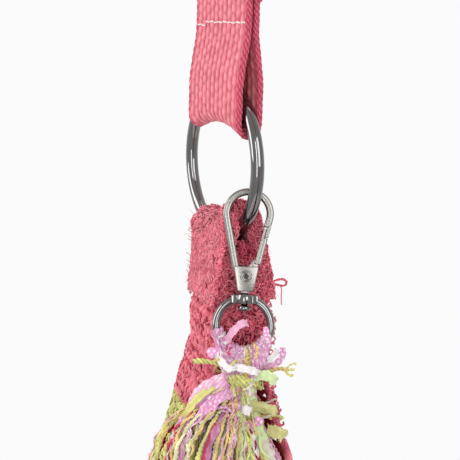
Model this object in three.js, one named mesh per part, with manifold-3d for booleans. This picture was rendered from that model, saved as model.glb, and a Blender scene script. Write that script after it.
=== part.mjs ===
// A knitted shoulder bag with a webbing strap on two rings and a tassel on a swivel clasp.
// Millimetres, +Z up, front towards -Y. The origin is the underside of the strap at the top of its
// arch, where the bag hangs. An "ear" is a knitted corner that rises to a ring; "out" is away from
// the bag's middle and "in" is towards it.
import * as THREE from "three";
import { mergeVertices } from "three/addons/utils/BufferGeometryUtils.js";
import Module from "manifold-3d";

const wasm = await Module();
wasm.setup();

// Driving dimensions of the rings and the strap
const ringSpan = 225; // between the two rings' centres
const ringInner = 50; // inner diameter
const ringWire = 4.8;
const strapWidth = 42;
const strapThick = 2.5;
const strapDrop = 230; // from the underside of the arch's top to a ring's centre
const strapLean = 4; // degrees that each end leans in as it rises
const legRise = 70; // from a ring's centre to where the straight end becomes the arch
const foldRise = 17.2; // from a ring's centre to the inside of the strap's fold, at mid width
const foldBow = 4.4; // how much lower the fold is at its edges
const seamRise = 50; // from a ring's centre to where the strap's two layers are sewn together
const flapRise = 59; // from a ring's centre to the raw end of the turned-back layer

// Driving dimensions of the tabs and the bag
const tabThick = 4;
const tabOut = 15.5; // from a ring's centre to the tab's outer edge, at its ends
const tabIn = 18.2; // and to its inner edge
const tabDrop = 50; // from a ring's centre to the tab's ends
const tabTurnOut = 29; // degrees round the ring's wire to the tab's outer edge, from straight below
const tabTurnIn = 41; // and to its inner edge
const bagReach = 60; // how far the bag reaches out past a ring's centre
const bagDepth = 90;
const bagDrop = 350; // from a ring's centre to the bag's bottom
const bagWall = 3.6;
const earIn = 17.6; // from a ring's centre to the ear's inner edge
const earRoom = 3.2; // from the ring's wire down to the ear's top
const neckDrop = 70; // from a ring's centre to where the ear becomes hollow
const mouthDrop = 187; // and to the lowest point of the mouth's rim
const seatGap = 0.35; // left wherever two pieces touch

// Driving dimensions of the clasp
const hookWide = 18;
const hookBar = 2.5;
const hookThick = 3;
const hookLong = 36.5; // from the top of the hook to the foot of its base
const baseHigh = 8.8;
const baseTop = 8.8; // width of the base at its top
const baseFoot = 5.7; // and at its foot
const baseThick = 4.4;
const windowFoot = 5.1; // width of the hook's window at its foot
const slotFloor = 1.2; // left of the base below the gate's slot
const lugThick = 1.4;
const lugWide = 4.8;
const rivetDrop = 31.2; // from the top of the hook
const rivetShaft = 1.8;
const rivetHead = 4.2;
const rivetHeadHigh = 0.6;
const gateTip = 13.9; // from the top of the hook to the gate's tip, which laps the hook's nose
const gateLap = 3.2;
const gateFoot = 27.2; // from the top of the hook to where the gate enters the base
const gateThick = 2.6;
const neckHigh = 1; // bare stretch of the swivel's stud
const studWide = 2.2;
const studHead = 4.3;
const studHeadHigh = 1.7;
const collarWide = 6.1;
const shoulderWide = 9.8;
const collarHigh = 3.5;
const eyeWide = 22.2; // swivel eye, outside
const eyeWire = 2.9;
const claspTurn = 65.6; // degrees from the front to where the clasp faces
const claspLean = 12.5; // degrees that its foot stands away from the ear
const claspRoll = 3.2; // degrees that its foot stands towards the bag's front
const claspSeat = 23; // degrees below the ring's centre where it hangs
const claspSlide = 1.6; // how far the hook has slipped along its own width

// Driving dimensions of the tassel
const headWide = 14;
const headThick = 12;
const headRise = 5.4; // from the middle of the eye's wire to the top of the tassel
const headDrop = 7; // and to the head's foot
const tieDrop = 9.4; // from the middle of the eye's wire to the middle of the tie
const tieHigh = 4.2;
const tieWide = 13.4;
const tieThick = 1.9;
const tasselLong = 87; // from the middle of the eye's wire to the longest lock's end
const skirtReach = 22; // from the tassel's middle to its widest lock
const lockCount = 13;
const lockWide = 8;
const lockThick = 5;
const coreLong = 0.93; // share of the tassel's length that its solid middle has

const rad = THREE.MathUtils.degToRad;
const lerp = THREE.MathUtils.lerp;
const smooth = THREE.MathUtils.smoothstep;
const ringRadius = (ringInner + ringWire) / 2;
const wireRadius = ringWire / 2;
const halfSpan = ringSpan / 2;
const earTop = ringRadius + wireRadius + earRoom; // drop from a ring's centre to the ear's top

function finish(color, roughness, metalness = 0) {
  return new THREE.MeshStandardMaterial({ color, roughness, metalness });
}
const webbingPink = finish(0xe0707c, 0.9);
const knitPink = finish(0xd25c70, 0.95);
const yarnMix = finish(0xd2a0b4, 0.95);
const yarnLime = finish(0xc6c66a, 0.95);
const gunmetal = finish(0x8c8a88, 0.25, 1);

// A closed geometry as a solid for cutting and joining, and a solid as a geometry again
function solid(geometry) {
  const bare = geometry.clone();
  bare.deleteAttribute("normal");
  bare.deleteAttribute("uv");
  const merged = mergeVertices(bare, 1e-3);
  const vertProperties = new Float32Array(merged.getAttribute("position").array);
  const triVerts = new Uint32Array(merged.getIndex().array);
  return new wasm.Manifold(new wasm.Mesh({ numProp: 3, vertProperties, triVerts }));
}

function geometryOf(body) {
  const made = body.getMesh();
  const geometry = new THREE.BufferGeometry();
  geometry.setAttribute("position", new THREE.BufferAttribute(new Float32Array(made.vertProperties), 3));
  geometry.setIndex(new THREE.BufferAttribute(new Uint32Array(made.triVerts), 1));
  geometry.computeVertexNormals();
  return geometry;
}

function piece(name, geometry, look) {
  const mesh = new THREE.Mesh(geometry, look);
  mesh.name = name;
  return mesh;
}

// A closed geometry from points and triangles, turned round if its faces point inwards
function closed(points, index) {
  let volume = 0;
  for (let t = 0; t < index.length; t += 3) {
    const [a, b, c] = [points[index[t]], points[index[t + 1]], points[index[t + 2]]];
    volume += a.dot(b.clone().cross(c));
  }
  const faces = volume < 0 ? index.slice().reverse() : index;
  const geometry = new THREE.BufferGeometry().setFromPoints(points);
  geometry.setIndex(faces);
  geometry.computeVertexNormals();
  return geometry;
}

// A sheet with thickness, from two grids of points: face[i][j] and back[i][j]
function sheet(face, back) {
  const along = face.length - 1;
  const across = face[0].length - 1;
  const points = [...face.flat(), ...back.flat()];
  const at = (side, i, j) => (side * (along + 1) + i) * (across + 1) + j;
  const index = [];
  const quad = (a, b, c, d) => index.push(a, b, c, a, c, d);
  for (let i = 0; i < along; i++) {
    for (let j = 0; j < across; j++) {
      quad(at(0, i, j), at(0, i + 1, j), at(0, i + 1, j + 1), at(0, i, j + 1));
      quad(at(1, i, j), at(1, i, j + 1), at(1, i + 1, j + 1), at(1, i + 1, j));
    }
    quad(at(0, i, 0), at(1, i, 0), at(1, i + 1, 0), at(0, i + 1, 0));
    quad(at(0, i, across), at(0, i + 1, across), at(1, i + 1, across), at(1, i, across));
  }
  for (let j = 0; j < across; j++) {
    quad(at(0, 0, j), at(0, 0, j + 1), at(1, 0, j + 1), at(1, 0, j));
    quad(at(0, along, j), at(1, along, j), at(1, along, j + 1), at(0, along, j + 1));
  }
  return closed(points, index);
}

// A skin through closed convex sections of equal point count, with flat ends
function loft(sections) {
  const count = sections[0].length;
  const index = [];
  for (let s = 0; s + 1 < sections.length; s++) {
    for (let k = 0; k < count; k++) {
      const a = s * count + k;
      const b = s * count + ((k + 1) % count);
      index.push(a, b, b + count, a, b + count, a + count);
    }
  }
  const last = (sections.length - 1) * count;
  let high = count - 1;
  for (let low = 0; high - low > 1; high--) {
    index.push(low, high, low + 1, last + low, last + low + 1, last + high);
    low++;
    if (high - low > 1) index.push(low, high, high - 1, last + low, last + high - 1, last + high);
  }
  return closed(sections.flat(), index);
}

// A flat outline in the XZ plane given thickness along Y, centred on Y = 0
function plate(outline, thick) {
  const geometry = new THREE.ExtrudeGeometry(new THREE.Shape(outline), { depth: thick, bevelEnabled: false });
  geometry.translate(0, 0, -thick / 2);
  return geometry.rotateX(Math.PI / 2);
}

function rod(width, top, foot, sides = 20) {
  const geometry = new THREE.CylinderGeometry(width / 2, width / 2, top - foot, sides);
  return geometry.rotateX(Math.PI / 2).translate(0, 0, (top + foot) / 2);
}

// Rings
function ring() {
  return new THREE.TorusGeometry(ringRadius, wireRadius, 10, 44).rotateX(Math.PI / 2);
}

// Strap: one band, turned back under each ring and sewn to itself. It faces the front at the rings and
// makes a quarter turn on each side of its arch, so that it lies flat at the top.
const archRows = 22; // steps in each half of the arch
const strapCells = 4; // steps across the width
const turnLow = 0.04; // share of each half of the arch where the quarter turn begins
const turnHigh = 0.86; // and ends
const foldSteps = 8;

function strapEnd() {
  const lean = rad(strapLean);
  const up = new THREE.Vector3(Math.sin(lean), 0, Math.cos(lean));
  const out = new THREE.Vector3(-Math.cos(lean), 0, Math.sin(lean));
  const ringMiddle = new THREE.Vector3(-halfSpan, 0, -strapDrop);
  const bend = wireRadius + seatGap + strapThick / 2; // from the fold's axis to the middle of the strap
  const layer = (strapThick + seatGap) / 2; // from the seam's plane to the middle of a layer
  const foot = foldRise + wireRadius + seatGap;
  const wireTop = ringRadius + wireRadius;
  const offset = (rise) => lerp(bend, layer, smooth(rise, wireTop, seamRise));
  const bow = (rise) => foldBow * (1 - smooth(rise, foldRise, seamRise));
  const station = (y, rise, face) => ({
    middle: ringMiddle.clone().addScaledVector(up, rise).setY(y),
    face,
    out,
    bow: bow(rise),
  });
  const levels = [0.25, 0.5, 0.7, 0.85, 1].map((share) => lerp(foot, seamRise, share));
  const back = new THREE.Vector3(0, 1, 0);
  const front = new THREE.Vector3(0, -1, 0);
  const list = [station(layer, flapRise, back)];
  for (const rise of levels.slice().reverse()) list.push(station(offset(rise), rise, back));
  for (let k = 0; k <= foldSteps; k++) {
    const angle = (Math.PI * k) / foldSteps;
    const face = back.clone().multiplyScalar(Math.cos(angle)).addScaledVector(up, -Math.sin(angle));
    list.push(station(bend * Math.cos(angle), foot - bend * Math.sin(angle), face));
  }
  for (const rise of levels) list.push(station(-offset(rise), rise, front));
  return { list, up, layer, archFoot: ringMiddle.clone().addScaledVector(up, legRise) };
}

function strapHalf() {
  const { list, up, layer, archFoot } = strapEnd();
  const wide = -archFoot.x;
  const high = strapThick / 2 - archFoot.z;
  const steepness = ((up.x / up.z) * high) / wide;
  const springAngle = Math.asin(steepness / (1 - steepness)); // where the ellipse leans as the ends do
  const semiWide = wide / Math.cos(springAngle);
  const semiHigh = high / (1 - Math.sin(springAngle));
  for (let k = 0; k <= archRows; k++) {
    const share = k / archRows;
    const angle = lerp(springAngle, Math.PI / 2, share);
    const x = -semiWide * Math.cos(angle);
    const z = strapThick / 2 + semiHigh * (Math.sin(angle) - 1);
    const y = -layer * (1 - smooth(share, 0, 0.35));
    const away = new THREE.Vector3(-Math.cos(angle) / semiWide, 0, Math.sin(angle) / semiHigh).normalize();
    const turn = (Math.PI / 2) * (1 - smooth(share, turnLow, turnHigh));
    const face = away.clone().multiplyScalar(Math.cos(turn));
    face.y = -Math.sin(turn);
    const out = away.clone().multiplyScalar(Math.sin(turn));
    out.y = Math.cos(turn);
    list.push({ middle: new THREE.Vector3(x, y, z), face, out, bow: 0 });
  }
  return { list, up };
}

function strap() {
  const { list, up } = strapHalf();
  const flip = new THREE.Vector3(-1, 1, 1);
  const row = ({ middle, face, out, bow }, side, mirror) => {
    const points = [];
    for (let j = 0; j <= strapCells; j++) {
      const share = (2 * j) / strapCells - 1;
      const point = middle.clone().addScaledVector(out, (share * strapWidth) / 2);
      point.addScaledVector(face, (side * strapThick) / 2).addScaledVector(up, -bow * share * share);
      points.push(mirror ? point.multiply(flip) : point);
    }
    return points;
  };
  const grid = (side) => [
    ...list.map((station) => row(station, side, false)),
    ...list.slice(0, -1).reverse().map((station) => row(station, side, true)),
  ];
  return sheet(grid(1), grid(-1));
}

// Bag: horizontal sections from the ears' top down to the bottom. fall is the share of the way down,
// reach is a share of bagReach past the ring, deep is a share of half the depth.
const bagRows = [
  { fall: 0.0, reach: 0.267, deep: 0.142 },
  { fall: 0.016, reach: 0.275, deep: 0.175 },
  { fall: 0.054, reach: 0.308, deep: 0.238 },
  { fall: 0.079, reach: 0.375, deep: 0.332 },
  { fall: 0.104, reach: 0.383, deep: 0.318 },
  { fall: 0.123, reach: 0.39, deep: 0.3 },
  { fall: 0.14, reach: 0.47, deep: 0.292 },
  { fall: 0.161, reach: 0.517, deep: 0.318 },
  { fall: 0.192, reach: 0.6, deep: 0.378 },
  { fall: 0.23, reach: 0.665, deep: 0.452 },
  { fall: 0.274, reach: 0.76, deep: 0.53 },
  { fall: 0.369, reach: 0.89, deep: 0.7 },
  { fall: 0.527, reach: 0.985, deep: 0.9 },
  { fall: 0.685, reach: 1, deep: 1 },
  { fall: 0.842, reach: 0.9, deep: 0.95 },
  { fall: 0.93, reach: 0.72, deep: 0.8 },
  { fall: 0.975, reach: 0.5, deep: 0.58 },
  { fall: 1.0, reach: 0.22, deep: 0.26 },
];
const bagPower = 2.5; // how square a section is: 2 is an ellipse
const bagSides = 40;

// The mouth's rim, from an ear's top to the middle: inward is a share of the way to the bag's middle,
// fall a share of the way down to the rim's lowest point
const mouthRows = [
  { inward: 0, fall: 0.2 },
  { inward: -0.006, fall: 0.37 },
  { inward: -0.022, fall: 0.52 },
  { inward: -0.012, fall: 0.66 },
  { inward: 0.035, fall: 0.78 },
  { inward: 0.18, fall: 0.885 },
  { inward: 0.5, fall: 0.968 },
  { inward: 1, fall: 1 },
];

const rowDrop = (row) => lerp(earTop, bagDrop, row.fall);

function bagSize(drop) {
  const next = Math.max(1, bagRows.findIndex((row) => rowDrop(row) >= drop));
  const [a, b] = [bagRows[next - 1], bagRows[next]];
  const share = (drop - rowDrop(a)) / (rowDrop(b) - rowDrop(a));
  return {
    wide: halfSpan + bagReach * lerp(a.reach, b.reach, share),
    deep: (bagDepth / 2) * lerp(a.deep, b.deep, share),
  };
}

// How far the bag's outside stands from its middle plane at x, at a drop from the rings' centres
function bagSide(x, drop) {
  const { wide, deep } = bagSize(drop);
  const share = Math.min(1, Math.abs(x) / wide);
  return deep * (1 - share ** bagPower) ** (1 / bagPower);
}

function bagSection(drop, inset) {
  const { wide, deep } = bagSize(drop);
  const points = [];
  for (let k = 0; k < bagSides; k++) {
    const angle = (2 * Math.PI * k) / bagSides;
    const [c, s] = [Math.cos(angle), Math.sin(angle)];
    const x = (wide - inset) * Math.sign(c) * Math.abs(c) ** (2 / bagPower);
    const y = (deep - inset) * Math.sign(s) * Math.abs(s) ** (2 / bagPower);
    points.push(new THREE.Vector3(x, y, -strapDrop - drop));
  }
  return points;
}

function mouthCut() {
  const side = halfSpan - earIn;
  const above = -strapDrop - earTop + ringRadius;
  const rim = new THREE.SplineCurve([
    new THREE.Vector2(-side, -strapDrop - earTop),
    ...mouthRows.map(
      ({ inward, fall }) =>
        new THREE.Vector2(-side * (1 - inward), -strapDrop - lerp(earTop, mouthDrop, fall)),
    ),
  ]).getPoints(28);
  const mirrored = rim.slice(0, -1).reverse().map((p) => new THREE.Vector2(-p.x, p.y));
  const outline = [new THREE.Vector2(-side, above), ...rim, ...mirrored, new THREE.Vector2(side, above)];
  return plate(outline, 2 * bagDepth);
}

function bag() {
  const outer = loft(bagRows.map((row) => bagSection(rowDrop(row), 0)));
  const floor = bagDrop - bagWall;
  const inside = bagRows.map(rowDrop).filter((drop) => drop > neckDrop && drop < floor);
  const hollow = loft([neckDrop, ...inside, floor].map((drop) => bagSection(drop, bagWall)));
  return geometryOf(solid(outer).subtract(solid(hollow)).subtract(solid(mouthCut())));
}

// Tab: a knitted strip hung over the ring's wire, with the ear's top sewn between its two ends. Each
// strand leaves the wire away from the ring's centre and turns to hang straight down.
const tabCells = 8;
const tabSteps = 8;
const tabFoldSteps = 8;

function tab() {
  const inner = wireRadius + seatGap;
  const strandAt = (share) => {
    const angle = rad(lerp(-tabTurnOut, tabTurnIn, share));
    const start = new THREE.Vector2(Math.sin(angle), -Math.cos(angle)).multiplyScalar(ringRadius);
    const end = new THREE.Vector2(lerp(-tabOut, tabIn, share), -tabDrop);
    const knee = new THREE.Vector2(end.x, start.y - Math.abs(end.x - start.x) / Math.tan(Math.abs(angle) + 0.2));
    return { start, end, knee };
  };
  const rows = { face: [], back: [] };
  const addRow = (pointAt) => {
    for (const side of ["face", "back"]) {
      const stand = side === "face" ? tabThick : 0;
      const row = [];
      for (let j = 0; j <= tabCells; j++) row.push(pointAt(strandAt(j / tabCells), stand));
      rows[side].push(row);
    }
  };
  const leg = (share, sign) =>
    addRow(({ start, end, knee }, stand) => {
      const flat = new THREE.QuadraticBezierCurve(start, knee, end).getPoint(share);
      const ear = bagSide(halfSpan - flat.x, Math.max(-flat.y, earTop)) + seatGap;
      const apart = lerp(inner, Math.max(inner, ear), smooth(-flat.y, -start.y, earTop));
      return new THREE.Vector3(flat.x, sign * (apart + stand), flat.y);
    });
  for (let k = 0; k < tabSteps; k++) leg(1 - k / tabSteps, -1);
  for (let k = 0; k <= tabFoldSteps; k++) {
    const angle = (Math.PI * k) / tabFoldSteps;
    addRow(({ start }, stand) => {
      const middle = start.clone().multiplyScalar(1 - ((inner + stand) * Math.sin(angle)) / ringRadius);
      return new THREE.Vector3(middle.x, -(inner + stand) * Math.cos(angle), middle.y);
    });
  }
  for (let k = 1; k <= tabSteps; k++) leg(k / tabSteps, 1);
  return sheet(rows.face, rows.back);
}

// Clasp, in its own frame: x across, z up along it, facing -y, with z = 0 at the middle of the top bar
const topZ = hookBar / 2;
const baseTopZ = topZ - hookLong + baseHigh;
const baseFootZ = topZ - hookLong;
const rivetZ = topZ - rivetDrop;

// A teardrop: an arc over the top and straight sides down to a foot of the given width
function teardrop(radius, footWide, footZ) {
  const middleZ = topZ - hookWide / 2;
  const reach = Math.hypot(footWide / 2, footZ - middleZ);
  const from = Math.atan2(footZ - middleZ, footWide / 2) + Math.acos(radius / reach);
  const points = [new THREE.Vector2(footWide / 2, footZ)];
  const steps = 28;
  for (let k = 0; k <= steps; k++) {
    const angle = lerp(from, Math.PI - from, k / steps);
    points.push(new THREE.Vector2(radius * Math.cos(angle), middleZ + radius * Math.sin(angle)));
  }
  points.push(new THREE.Vector2(-footWide / 2, footZ));
  return points;
}

// The gate's stretch of the right-hand bar, with a step where its tip laps the hook's nose
function gateStretch(inset) {
  const high = new THREE.Vector2((hookWide - hookBar) / 2, topZ - hookWide / 2);
  const low = new THREE.Vector2((baseTop + windowFoot) / 4, baseTopZ);
  const along = low.clone().sub(high).normalize();
  const across = new THREE.Vector2(-along.y, along.x);
  const at = (drop, aside) => {
    const share = (topZ - drop - high.y) / (low.y - high.y);
    return high.clone().lerp(low, share).addScaledVector(across, aside);
  };
  const side = hookBar * 1.6;
  return [
    at(gateTip + inset, -side),
    at(gateTip + inset, -inset),
    at(gateTip + gateLap + inset, -inset),
    at(gateTip + gateLap + inset, side),
    at(gateFoot - inset, side),
    at(gateFoot - inset, -side),
  ];
}

function rivetHole() {
  return solid(
    new THREE.CylinderGeometry(rivetShaft / 2 + seatGap, rivetShaft / 2 + seatGap, 2 * baseThick, 20)
      .translate(0, 0, 0)
      .applyMatrix4(new THREE.Matrix4().makeTranslation(0, 0, rivetZ)),
  );
}

function hook() {
  const bars = solid(plate(teardrop(hookWide / 2, baseTop, baseTopZ), hookThick))
    .subtract(solid(plate(teardrop(hookWide / 2 - hookBar, windowFoot, baseTopZ - 0.2), 2 * hookThick)))
    .subtract(solid(plate(gateStretch(0), 2 * hookThick)));
  const foot = [
    new THREE.Vector2(-baseTop / 2, baseTopZ + seatGap),
    new THREE.Vector2(-baseFoot / 2, baseFootZ),
    new THREE.Vector2(baseFoot / 2, baseFootZ),
    new THREE.Vector2(baseTop / 2, baseTopZ + seatGap),
  ];
  const slot = new THREE.BoxGeometry(hookWide, lugThick + 2 * seatGap, baseHigh).translate(
    hookWide / 2 - lugWide / 2 - seatGap,
    0,
    baseFootZ + slotFloor + baseHigh / 2,
  );
  const headTop = baseFootZ - neckHigh - collarHigh - 2 * seatGap;
  return geometryOf(
    bars
      .add(solid(plate(foot, baseThick)))
      .subtract(solid(slot))
      .subtract(rivetHole())
      .add(solid(rod(studWide, baseFootZ + slotFloor / 2, headTop - studHeadHigh / 2)))
      .add(solid(rod(studHead, headTop, headTop - studHeadHigh))),
  );
}

function gate() {
  const blade = solid(plate(teardrop(hookWide / 2, baseTop, baseTopZ), gateThick))
    .subtract(solid(plate(teardrop(hookWide / 2 - hookBar, windowFoot, baseTopZ - 0.2), 2 * gateThick)))
    .intersect(solid(plate(gateStretch(seatGap), 2 * gateThick)));
  const [armX, armZ] = [(baseTop + windowFoot) / 4, topZ - gateFoot];
  const arm = [
    new THREE.Vector2(armX - 0.9, armZ + 2),
    new THREE.Vector2(-lugWide / 4, rivetZ + lugWide / 4),
    new THREE.Vector2(lugWide / 4, rivetZ - lugWide / 4),
    new THREE.Vector2(armX + 0.8, armZ),
    new THREE.Vector2(armX + 0.5, armZ + 2),
  ];
  const lug = new THREE.CylinderGeometry(lugWide / 2, lugWide / 2, lugThick, 20).translate(0, 0, rivetZ);
  return geometryOf(blade.add(solid(plate(arm, lugThick))).add(solid(lug)).subtract(rivetHole()));
}

function rivet() {
  const half = baseThick / 2 + seatGap;
  const profile = [
    [0, -half - rivetHeadHigh],
    [rivetHead / 2, -half - rivetHeadHigh],
    [rivetHead / 2, -half],
    [rivetShaft / 2, -half],
    [rivetShaft / 2, half],
    [rivetHead / 2, half],
    [rivetHead / 2, half + rivetHeadHigh],
    [0, half + rivetHeadHigh],
  ].map(([r, y]) => new THREE.Vector2(r, y));
  return new THREE.LatheGeometry(profile, 20).translate(0, 0, rivetZ);
}

// Swivel eye: a ring with a collar that turns on the stud
const eyeRadius = (eyeWide - eyeWire) / 2;
const collarTop = baseFootZ - neckHigh;
const collarFoot = collarTop - collarHigh;
const eyeZ = collarTop - eyeWide / 2;
const eyeLowZ = eyeZ - eyeRadius; // middle of the eye's lowest wire

function eyeTorus(extra, sides = 10, steps = 36) {
  const torus = new THREE.TorusGeometry(eyeRadius, eyeWire / 2 + extra, sides, steps);
  return torus.rotateX(Math.PI / 2).translate(0, 0, eyeZ);
}

function swivelEye() {
  const shoulder = new THREE.BoxGeometry(shoulderWide, eyeWire, collarHigh).translate(
    0,
    0,
    (collarTop + collarFoot) / 2,
  );
  const bore = rod(studWide + 2 * seatGap, collarTop + 1, collarFoot - 2);
  return geometryOf(
    solid(eyeTorus(0))
      .add(solid(rod(collarWide, collarTop, collarFoot)))
      .add(solid(shoulder))
      .subtract(solid(bore)),
  );
}

// Tassel: a bundle of yarns and cloth strips folded over the eye's wire and tied below it. side is the
// share that each lock keeps of the skirt's reach, long its share of the tassel's length.
const lockRows = [
  { side: 0.84, long: 0.93 },
  { side: 0.8, long: 0.98 },
  { side: 0.86, long: 0.9 },
  { side: 0.92, long: 1 },
  { side: 0.97, long: 0.94 },
  { side: 1, long: 0.97 },
  { side: 0.96, long: 0.9 },
  { side: 0.98, long: 0.96 },
  { side: 0.9, long: 1 },
  { side: 0.82, long: 0.92 },
  { side: 0.78, long: 0.97 },
  { side: 0.8, long: 0.91 },
  { side: 0.85, long: 0.99 },
];

function oval(middle, wide, thick, angle, z, sides) {
  const points = [];
  for (let k = 0; k < sides; k++) {
    const turn = (2 * Math.PI * k) / sides;
    const [u, v] = [(wide / 2) * Math.sin(turn), (thick / 2) * Math.cos(turn)];
    const x = middle * Math.cos(angle) + v * Math.cos(angle) - u * Math.sin(angle);
    const y = middle * Math.sin(angle) + v * Math.sin(angle) + u * Math.cos(angle);
    points.push(new THREE.Vector3(x, y, z));
  }
  return points;
}

const tieZ = eyeLowZ - tieDrop;
const neckWide = tieWide - 2 * tieThick - 2 * seatGap;
const lockShares = [0, 0.1, 0.22, 0.38, 0.58, 0.8, 1];

// How far a lock's middle stands from the tassel's middle, at a share of its length
function lockStand(share, side) {
  const gathered = neckWide / 2 - lockThick / 4;
  return lerp(gathered, skirtReach * side - lockThick / 2, smooth(share, 0.03, 0.68));
}

function lock({ side, long }, angle) {
  const top = tieZ + tieHigh;
  const foot = eyeLowZ - tasselLong * long;
  const sections = lockShares.map((share) => {
    const full = lerp(0.45, 1, smooth(share, 0.05, 0.6)) * (share === 1 ? 0.6 : 1);
    return oval(lockStand(share, side), lockWide * full, lockThick * full, angle, lerp(top, foot, share), 6);
  });
  return solid(loft(sections));
}

function tassel() {
  const headTop = eyeLowZ + headRise;
  const headFoot = eyeLowZ - headDrop;
  const head = new THREE.SphereGeometry(1, 20, 12).rotateX(Math.PI / 2);
  head.scale(headWide / 2, headThick / 2, (headTop - headFoot) / 2);
  head.translate(0, 0, (headTop + headFoot) / 2);
  const narrowest = Math.min(...lockRows.map((row) => row.side));
  const coreTop = eyeLowZ - headDrop / 2;
  const coreFoot = eyeLowZ - tasselLong * coreLong;
  const profile = [[0, coreFoot]];
  for (const share of lockShares.slice().reverse()) {
    profile.push([lockStand(share, narrowest), lerp(tieZ + tieHigh, coreFoot, share)]);
  }
  profile.push([neckWide / 2, coreTop], [0, coreTop]);
  const core = new THREE.LatheGeometry(profile.map(([r, z]) => new THREE.Vector2(r, z)), 24);
  let made = solid(head).subtract(solid(eyeTorus(seatGap, 12, 48))).add(solid(core.rotateX(Math.PI / 2)));
  for (let k = 0; k < lockCount; k++) {
    const angle = (2 * Math.PI * (k + 0.5)) / lockCount;
    made = made.add(lock(lockRows[k % lockRows.length], angle));
  }
  return geometryOf(made.subtract(solid(tieRing(seatGap))));
}

function tieProfile(extra) {
  const [inner, outer] = [neckWide / 2 + seatGap - extra, tieWide / 2 + 2 * extra];
  const half = tieHigh / 2 + extra;
  return [
    [inner, -half],
    [outer - tieThick / 3, -half],
    [outer, -half / 2],
    [outer, half / 2],
    [outer - tieThick / 3, half],
    [inner, half],
    [inner, -half],
  ].map(([r, z]) => new THREE.Vector2(r, z));
}

function tieRing(extra) {
  return new THREE.LatheGeometry(tieProfile(extra), 24).rotateX(Math.PI / 2).translate(0, 0, tieZ);
}

// The clasp hangs from the left ring's inner lower side, leans away from the ear, and faces inwards and
// a little to the front
function claspFrame() {
  const face = new THREE.Vector3(Math.sin(rad(claspTurn)), -Math.cos(rad(claspTurn)), 0);
  const across = new THREE.Vector3(Math.cos(rad(claspTurn)), Math.sin(rad(claspTurn)), 0);
  const down = face.clone().multiplyScalar(Math.sin(rad(claspLean)));
  down.addScaledVector(across, -Math.sin(rad(claspRoll)));
  down.z = -Math.sqrt(1 - down.lengthSq());
  const up = down.negate();
  const right = across.addScaledVector(up, -across.dot(up)).normalize();
  const behind = up.clone().cross(right);
  const seat = rad(claspSeat);
  const wire = new THREE.Vector3(Math.cos(seat), 0, -Math.sin(seat)).multiplyScalar(ringRadius);
  const along = new THREE.Vector3(Math.sin(seat), 0, Math.cos(seat));
  const apart = right.clone().cross(along).normalize();
  if (apart.z < 0) apart.negate();
  const barReach = Math.hypot(hookBar, hookThick) / 2;
  const middle = wire.addScaledVector(apart, wireRadius + barReach + seatGap);
  middle.addScaledVector(right, -claspSlide);
  return new THREE.Matrix4().makeBasis(right, behind, up).setPosition(middle);
}

// The whole bag
const wholeBag = new THREE.Group();
wholeBag.add(piece("bag_body", bag(), knitPink));
wholeBag.add(piece("strap", strap(), webbingPink));
for (const [name, side] of [["left", -1], ["right", 1]]) {
  const corner = new THREE.Group();
  corner.position.set(side * halfSpan, 0, -strapDrop);
  corner.scale.set(-side, 1, 1);
  corner.add(piece("ring_" + name, ring(), gunmetal));
  corner.add(piece("tab_" + name, tab(), knitPink));
  if (side < 0) {
    const clasp = new THREE.Group();
    clasp.applyMatrix4(claspFrame());
    clasp.add(piece("clasp_hook", hook(), gunmetal));
    clasp.add(piece("clasp_gate", gate(), gunmetal));
    clasp.add(piece("clasp_rivet", rivet(), gunmetal));
    clasp.add(piece("swivel_eye", swivelEye(), gunmetal));
    clasp.add(piece("tassel", tassel(), yarnMix));
    clasp.add(piece("tassel_tie", tieRing(0), yarnLime));
    corner.add(clasp);
  }
  wholeBag.add(corner);
}

export default wholeBag;
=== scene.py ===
"""Looks of a knitted shoulder bag: webbing strap, steel rings, knitted ears, clasp and yarn tassel.

Metres, +Z up, front towards -Y, the origin at the underside of the strap's arch. Every piece is
built from the same named sizes as the frame's solids, and stands where its solid is.
"""

import math

import bmesh
import bpy
import numpy as np
from mathutils import Matrix, Vector


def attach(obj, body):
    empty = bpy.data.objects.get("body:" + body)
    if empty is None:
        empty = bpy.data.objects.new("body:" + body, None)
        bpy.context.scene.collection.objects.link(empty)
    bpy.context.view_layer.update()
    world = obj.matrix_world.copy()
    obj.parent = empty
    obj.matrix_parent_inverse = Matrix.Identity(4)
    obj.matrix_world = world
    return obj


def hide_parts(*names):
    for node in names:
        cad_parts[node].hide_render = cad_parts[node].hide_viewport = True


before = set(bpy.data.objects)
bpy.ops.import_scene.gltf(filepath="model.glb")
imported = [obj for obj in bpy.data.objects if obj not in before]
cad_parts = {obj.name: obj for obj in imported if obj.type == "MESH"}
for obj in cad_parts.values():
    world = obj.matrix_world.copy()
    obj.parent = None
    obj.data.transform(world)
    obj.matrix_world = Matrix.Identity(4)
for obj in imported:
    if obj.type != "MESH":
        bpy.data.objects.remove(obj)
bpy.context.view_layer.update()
MM = 0.001

# Rings and strap, in millimetres
RING_SPAN = 225
RING_INNER = 50
RING_WIRE = 4.8
STRAP_WIDTH = 42
STRAP_THICK = 2.5
STRAP_DROP = 230
STRAP_LEAN = 4
LEG_RISE = 70
FOLD_RISE = 17.2
FOLD_BOW = 4.4
SEAM_RISE = 50
FLAP_RISE = 59
SEAT_GAP = 0.35
STRAP_STEP = 1.1
FOLD_LENGTH = 12.6  # of the strap's middle, round the wire
STITCHES = 11
FRAYED = 260

# Tabs and bag, in millimetres
TAB_THICK = 4
TAB_OUT = 15.5
TAB_IN = 18.2
TAB_DROP = 50
TAB_TURN_OUT = 29
TAB_TURN_IN = 41
BAG_REACH = 60
BAG_DEPTH = 90
BAG_DROP = 350
BAG_WALL = 3.6
EAR_IN = 17.6
EAR_ROOM = 3.2
NECK_DROP = 70
MOUTH_DROP = 187

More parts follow.
